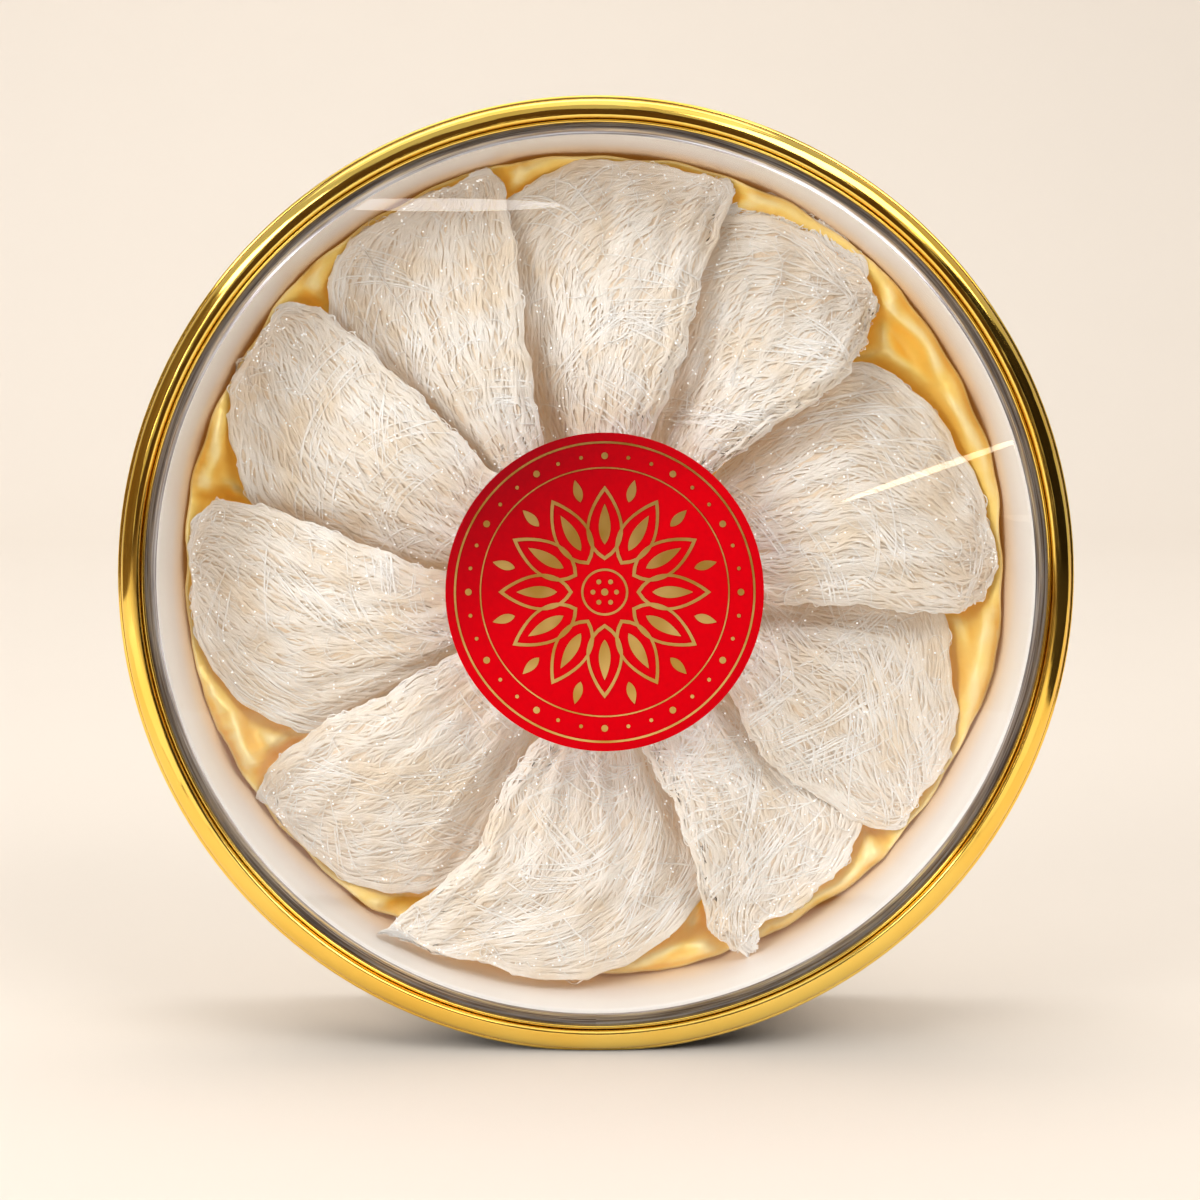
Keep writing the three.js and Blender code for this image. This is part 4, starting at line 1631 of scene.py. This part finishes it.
@dataclass
class Seal:
    """The round red seal on the window, with a plain gold rosette in a ring of dots."""

    x: float = 1.9 * MM
    z: float = -4 * MM
    radius: float = 35.2 * MM
    thickness: float = 0.4 * MM
    gap: float = 0.05 * MM
    foil: float = 0.12 * MM
    border_radius: float = 33.3 * MM
    border_width: float = 0.45 * MM
    petals: int = 12

    @property
    def back_y(self) -> float:
        """The y of the seal's back."""
        return BOX.front + Lid.window_setback - self.gap

    def build(self) -> None:
        """Builds the paper disc and the foil on it."""
        self.build_paper()
        self.build_border()
        self.build_rosette()

    def at(self, radius: Array, angle: Array, y: float) -> Array:
        """Places on the seal.

        Args:
            radius: distances from the seal's middle.
            angle: angles round it, from the right, anticlockwise.
            y: how far back they lie.

        Returns:
            Their coordinates.
        """
        radius, angle = np.broadcast_arrays(np.asarray(radius, float), np.asarray(angle, float))
        return np.stack([
            self.x + radius * np.cos(angle), np.full(radius.shape, y),
            BOX.axis_height + self.z + radius * np.sin(angle),
        ], -1)

    def build_paper(self) -> bpy.types.Object:
        """Builds the paper disc with a slightly rounded edge."""
        sides = 160
        angle = np.arange(sides) / sides * TURN
        back, front = self.back_y, self.back_y - self.thickness
        rows = [(0.5 * self.radius, front), (0.9 * self.radius, front), (self.radius - 0.12 * MM, front),
                (self.radius - 0.03 * MM, front + 0.05 * MM), (self.radius, front + 0.14 * MM),
                (self.radius, back), (0.5 * self.radius, back)]
        points = np.concatenate([self.at(np.full(sides, r), angle, y) for r, y in rows])
        middle = np.array([self.at(0, 0, front), self.at(0, 0, back)])
        end = (len(rows) - 1) * sides
        fans = [fan_faces(len(points), 0, sides, reverse=True), fan_faces(len(points) + 1, end, sides)]
        paper = mesh_piece("seal_paper_disc", np.vstack([points, middle]),
                           [ring_faces(len(rows), sides)[:, ::-1], *fans], [SealPaper().material()])
        face_out(paper)
        return place(paper, "seal_paper", "seal_label")

    def strip(self, inner: Array, outer: Array, higher: float = 0) -> tuple[Array, list[Array]]:
        """A closed foil line between two loops.

        Args:
            inner: one loop's radius and angle for each point.
            outer: the other loop's.
            higher: how far it stands above the other foil.

        Returns:
            The corners and faces of a thin closed solid.
        """
        top = self.back_y - self.thickness - self.foil - higher
        bottom = self.back_y - self.thickness + 0.02 * MM
        rows = ((outer, bottom), (outer, top), (inner, top), (inner, bottom))
        points = np.concatenate([self.at(*loop.T, y) for loop, y in rows])
        return points, [ring_faces(len(rows), len(inner), closed_rows=True)]

    def patch(self, loop: Array) -> tuple[Array, list[Array]]:
        """A filled foil shape inside a loop.

        Args:
            loop: radius and angle for each point of a shape that its middle sees whole.

        Returns:
            The corners and faces of a thin closed solid.
        """
        top = self.back_y - self.thickness - self.foil
        bottom = self.back_y - self.thickness + 0.02 * MM
        upper, lower = self.at(*loop.T, top), self.at(*loop.T, bottom)
        count = len(loop)
        points = np.vstack([lower, upper, upper.mean(0), lower.mean(0)])
        fans = [fan_faces(2 * count, count, count), fan_faces(2 * count + 1, 0, count, reverse=True)]
        return points, [ring_faces(2, count), *fans]

    def join(self, name: str, shapes: list[tuple[Array, list[Array]]], *nodes: str) -> bpy.types.Object:
        """Joins foil shapes in one piece.

        Args:
            name: the piece's name.
            shapes: corners and faces of each shape.
            *nodes: the nodes that it stands for.

        Returns:
            The piece.
        """
        points, faces, offset = [], [], 0
        for corners, groups in shapes:
            points.append(corners)
            faces += [group + offset for group in groups]
            offset += len(corners)
        piece = mesh_piece(name, np.concatenate(points), faces, [GoldFoil().material()], smooth=False)
        face_out(piece)
        return place(piece, "gold_foil", *nodes)

    def ring(self, radius: float, width: float, sides: int = 160) -> tuple[Array, list[Array]]:
        """A thin foil circle."""
        angle = np.arange(sides) / sides * TURN
        return self.strip(np.stack([np.full(sides, radius - width), angle], -1),
                          np.stack([np.full(sides, radius), angle], -1))

    def build_border(self) -> bpy.types.Object:
        """Builds the circle near the seal's edge."""
        circle = self.ring(self.border_radius, self.border_width)
        return self.join("seal_foil_border", [circle], "seal_border")

    def leaf(self, start: float, end: float, turn: float, width: float, points: int = 14) -> Array:
        """The loop of a leaf that points outwards.

        Args:
            start: the radius of its inner point.
            end: the radius of its outer point.
            turn: its angle.
            width: its greatest width.
            points: how many steps each side has.

        Returns:
            Radius and angle for each point.
        """
        t = np.linspace(0, 1, points)
        radius = start + (end - start) * t
        half = width / 2 * np.sin(math.pi * t ** 0.85) ** 0.9
        spread = half / radius
        return np.concatenate([
            np.stack([radius, turn - spread], -1),
            np.stack([radius[::-1][1:-1], turn + spread[::-1][1:-1]], -1),
        ])

    def build_rosette(self) -> bpy.types.Object:
        """Builds the rosette, its dots and its inner circles."""
        shapes = [self.ring(5.2 * MM, 0.5 * MM, 64), self.ring(27.6 * MM, 0.3 * MM, 120)]
        step = TURN / self.petals
        for i in range(self.petals):
            turn = i * step
            line = self.leaf(7 * MM, 23.5 * MM, turn, 8.2 * MM)
            inside = self.leaf(7.9 * MM, 22.3 * MM, turn, 6.9 * MM)
            shapes.append(self.strip(inside, line, (i % 2) * 0.03 * MM))
            shapes.append(self.patch(self.leaf(10.5 * MM, 19.5 * MM, turn, 2.6 * MM)))
            shapes.append(self.patch(self.leaf(20.5 * MM, 25.6 * MM, turn + step / 2, 2.0 * MM)))
        for i in range(36):
            shapes.append(self.dot(30.1 * MM, i * TURN / 36, 0.42 * MM if i % 3 else 0.75 * MM))
        for i in range(6):
            shapes.append(self.dot(2.6 * MM, i * TURN / 6, 0.55 * MM))
        shapes.append(self.dot(0.001 * MM, 0, 0.8 * MM))
        return self.join("seal_foil_rosette", shapes, "seal_rosette")

    def dot(self, radius: float, turn: float, size: float) -> tuple[Array, list[Array]]:
        """A small round foil dot."""
        angle = np.arange(14) / 14 * TURN
        x = radius * math.cos(turn) + size * np.cos(angle)
        z = radius * math.sin(turn) + size * np.sin(angle)
        return self.patch(np.stack([np.hypot(x, z), np.arctan2(z, x)], -1))


@dataclass
class Studio:
    """The pale sweep, the soft lights and the camera."""

    distance: float = 530 * MM
    aside: float = -10 * MM
    above: float = 50 * MM
    lens: float = 72.15
    shift_x: float = 0.041
    shift_y: float = -0.2104

    def build(self) -> None:
        """Builds everything that isn't the object."""
        self.build_sweep()
        self.build_cards()
        self.build_world()
        self.build_lights()
        self.build_camera()

    def build_sweep(self) -> bpy.types.Object:
        """Builds the floor that curves up into a backdrop."""
        half_width, front, bend, height = 3.0, -2.5, 0.9, 3.0
        turn = np.linspace(0, math.pi / 2, 24)
        start = 1.4
        y = np.concatenate([[front], start + bend * np.sin(turn), [start + bend]])
        z = np.concatenate([[0.0], bend * (1 - np.cos(turn)), [height]])
        left = np.stack([np.full_like(y, -half_width), y, z], -1)
        right = left * np.array([-1, 1, 1])
        count = len(y)
        i = np.arange(count - 1)
        faces = np.stack([i, count + i, count + i + 1, i + 1], -1)
        sweep = mesh_piece("studio_sweep", np.vstack([left, right]), [faces], [StudioPaper().material()])
        return sweep

    def build_cards(self) -> None:
        """Builds the brown end of the room behind the camera and a dark side on the right."""
        self.card("brown_end", (-0.9, -1.7), (0.8, -1.7), 1.3, DarkCloth(FadingCloth.far))
        self.card("dark_side", (0.85, -1.6), (1.6, -0.1), 0.8, DarkCloth())
        side = self.card("brown_side", (-0.75, 0.1), (-0.75, -1.0), 0.6, DarkCloth((0.2, 0.13, 0.06)))
        side.visible_shadow = False
        side.visible_diffuse = False
        self.mat("dark_mat", (0.3, -1.6), (1.6, -0.05), 0.003, DarkCloth())
        self.mat("white_mat", (-0.5, -0.5), (0.28, -0.16), 0.003, StudioPaper((0.97, 0.96, 0.93)))
        self.mat("brown_mat", (-1.5, -1.7), (0.4, -0.3), 0.002, FadingCloth())

    def mat(self, name: str, near: tuple[float, float], far: tuple[float, float], level: float,
            finish: DarkCloth | StudioPaper | FadingCloth) -> bpy.types.Object:
        """Lays a flat mat on the floor.

        Args:
            name: the mat's name.
            near: x and y of its near left corner.
            far: x and y of its far right corner.
            level: how high it lies.
            finish: its cloth or paper.

        Returns:
            The mat.
        """
        (left, front), (right, back) = near, far
        loop = ((left, front), (right, front), (right, back), (left, back))
        corners = np.array([[*corner, level] for corner in loop])
        made = mesh_piece(name, corners, [np.array([[0, 1, 2, 3]])], [finish.material()])
        return made

    def card(self, name: str, start: tuple[float, float], end: tuple[float, float], height: float,
             finish: DarkCloth) -> bpy.types.Object:
        """Stands a card on the floor.

        Args:
            name: the card's name.
            start: x and y of one end.
            end: x and y of the other.
            height: how high it is.
            finish: its cloth.

        Returns:
            The card.
        """
        low = 0.002
        corners = np.array([[*start, low], [*end, low], [*end, height], [*start, height]])
        made = mesh_piece(name, corners, [np.array([[0, 3, 2, 1]])], [finish.material()])
        return made

    def build_world(self) -> None:
        """Fills the room with a soft warm light."""
        world = bpy.data.worlds.new("studio")
        world.use_nodes = True
        background = world.node_tree.nodes["Background"]
        background.inputs["Color"].default_value = (1.0, 0.98, 0.955, 1)
        background.inputs["Strength"].default_value = 0.54
        bpy.context.scene.world = world
        bpy.context.scene.view_settings.view_transform = "Standard"
        paths = bpy.context.scene.cycles
        paths.max_bounces = 8
        paths.diffuse_bounces = 3
        paths.glossy_bounces = 3
        paths.transmission_bounces = 6
        paths.caustics_reflective = False
        paths.caustics_refractive = False
        paths.use_light_tree = False
        paths.debug_use_spatial_splits = True

    def light(self, name: str, place_at: tuple[float, float, float], aim: tuple[float, float, float],
              size: tuple[float, float], power: float, colour: Colour = (1, 1, 1),
              roll: float = 0) -> bpy.types.Object:
        """Adds a soft rectangular light.

        Args:
            name: the light's name.
            place_at: where it is.
            aim: what it faces.
            size: its width and height.
            power: its power in watts.
            colour: its colour.
            roll: how far its right end is turned up.

        Returns:
            The light.
        """
        data = bpy.data.lights.new(name, "AREA")
        data.shape = "RECTANGLE"
        data.size, data.size_y = size
        data.energy = power
        data.color = colour
        obj = bpy.data.objects.new(name, data)
        obj.location = place_at
        obj.rotation_euler = (Vector(aim) - Vector(place_at)).to_track_quat("-Z", "Y").to_euler()
        obj.rotation_euler.rotate_axis("Z", roll)
        bpy.context.scene.collection.objects.link(obj)
        return obj

    def build_lights(self) -> None:
        """Places the softboxes."""
        middle = (0, 0, BOX.axis_height)
        warm = (1, 0.99, 0.97)
        self.light("key_softbox", (0.85, -1.0, 1.15), middle, (1.1, 0.7), 10.3, warm)
        self.light("left_softbox", (-1.0, -0.9, 0.6), middle, (0.7, 0.8), 9.6, warm)
        self.light("top_softbox", (-0.1, -0.3, 1.3), middle, (1.3, 0.7), 2, warm)
        streak = self.light("right_streak", (0.267, -1.205, 0.070), (0, 0, 0.09), (0.15, 0.0045), 0.011,
                            (1, 0.86, 0.6), math.radians(20))
        band = self.light("upper_band", (-0.093, -1.2, 0.257), (-0.03, 0, 0.19), (0.18, 0.009), 0.016,
                          (1, 0.97, 0.95))
        for strip in (streak, band):
            strip.data.shape = "ELLIPSE"
        backdrop = self.light("backdrop_softbox", (-0.4, 0.6, 2.6), (-0.4, 1.7, 0.3), (3.0, 1.2), 19.6)
        backdrop.data.spread = math.radians(130)

    def build_camera(self) -> None:
        """Places a level camera a little above the box's axis and to the left of it."""
        data = bpy.data.cameras.new("camera")
        data.lens = self.lens
        data.sensor_width = 36
        data.shift_x = self.shift_x
        data.shift_y = self.shift_y
        camera = bpy.data.objects.new("camera", data)
        camera.location = (self.aside, BOX.front - self.distance, BOX.axis_height + self.above)
        camera.rotation_euler = (math.pi / 2, 0, 0)
        bpy.context.scene.collection.objects.link(camera)
        bpy.context.scene.camera = camera


def main() -> None:
    """Builds the dressed box in order."""
    logging.basicConfig(level=logging.INFO, format="%(name)s %(message)s")
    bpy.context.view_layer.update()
    Studio().build()
    Lid().build()
    Tray().build()
    SatinLining().build()
    NestRing().build()
    Seal().build()
    bpy.context.view_layer.update()


if __name__ == "__main__":
    main()
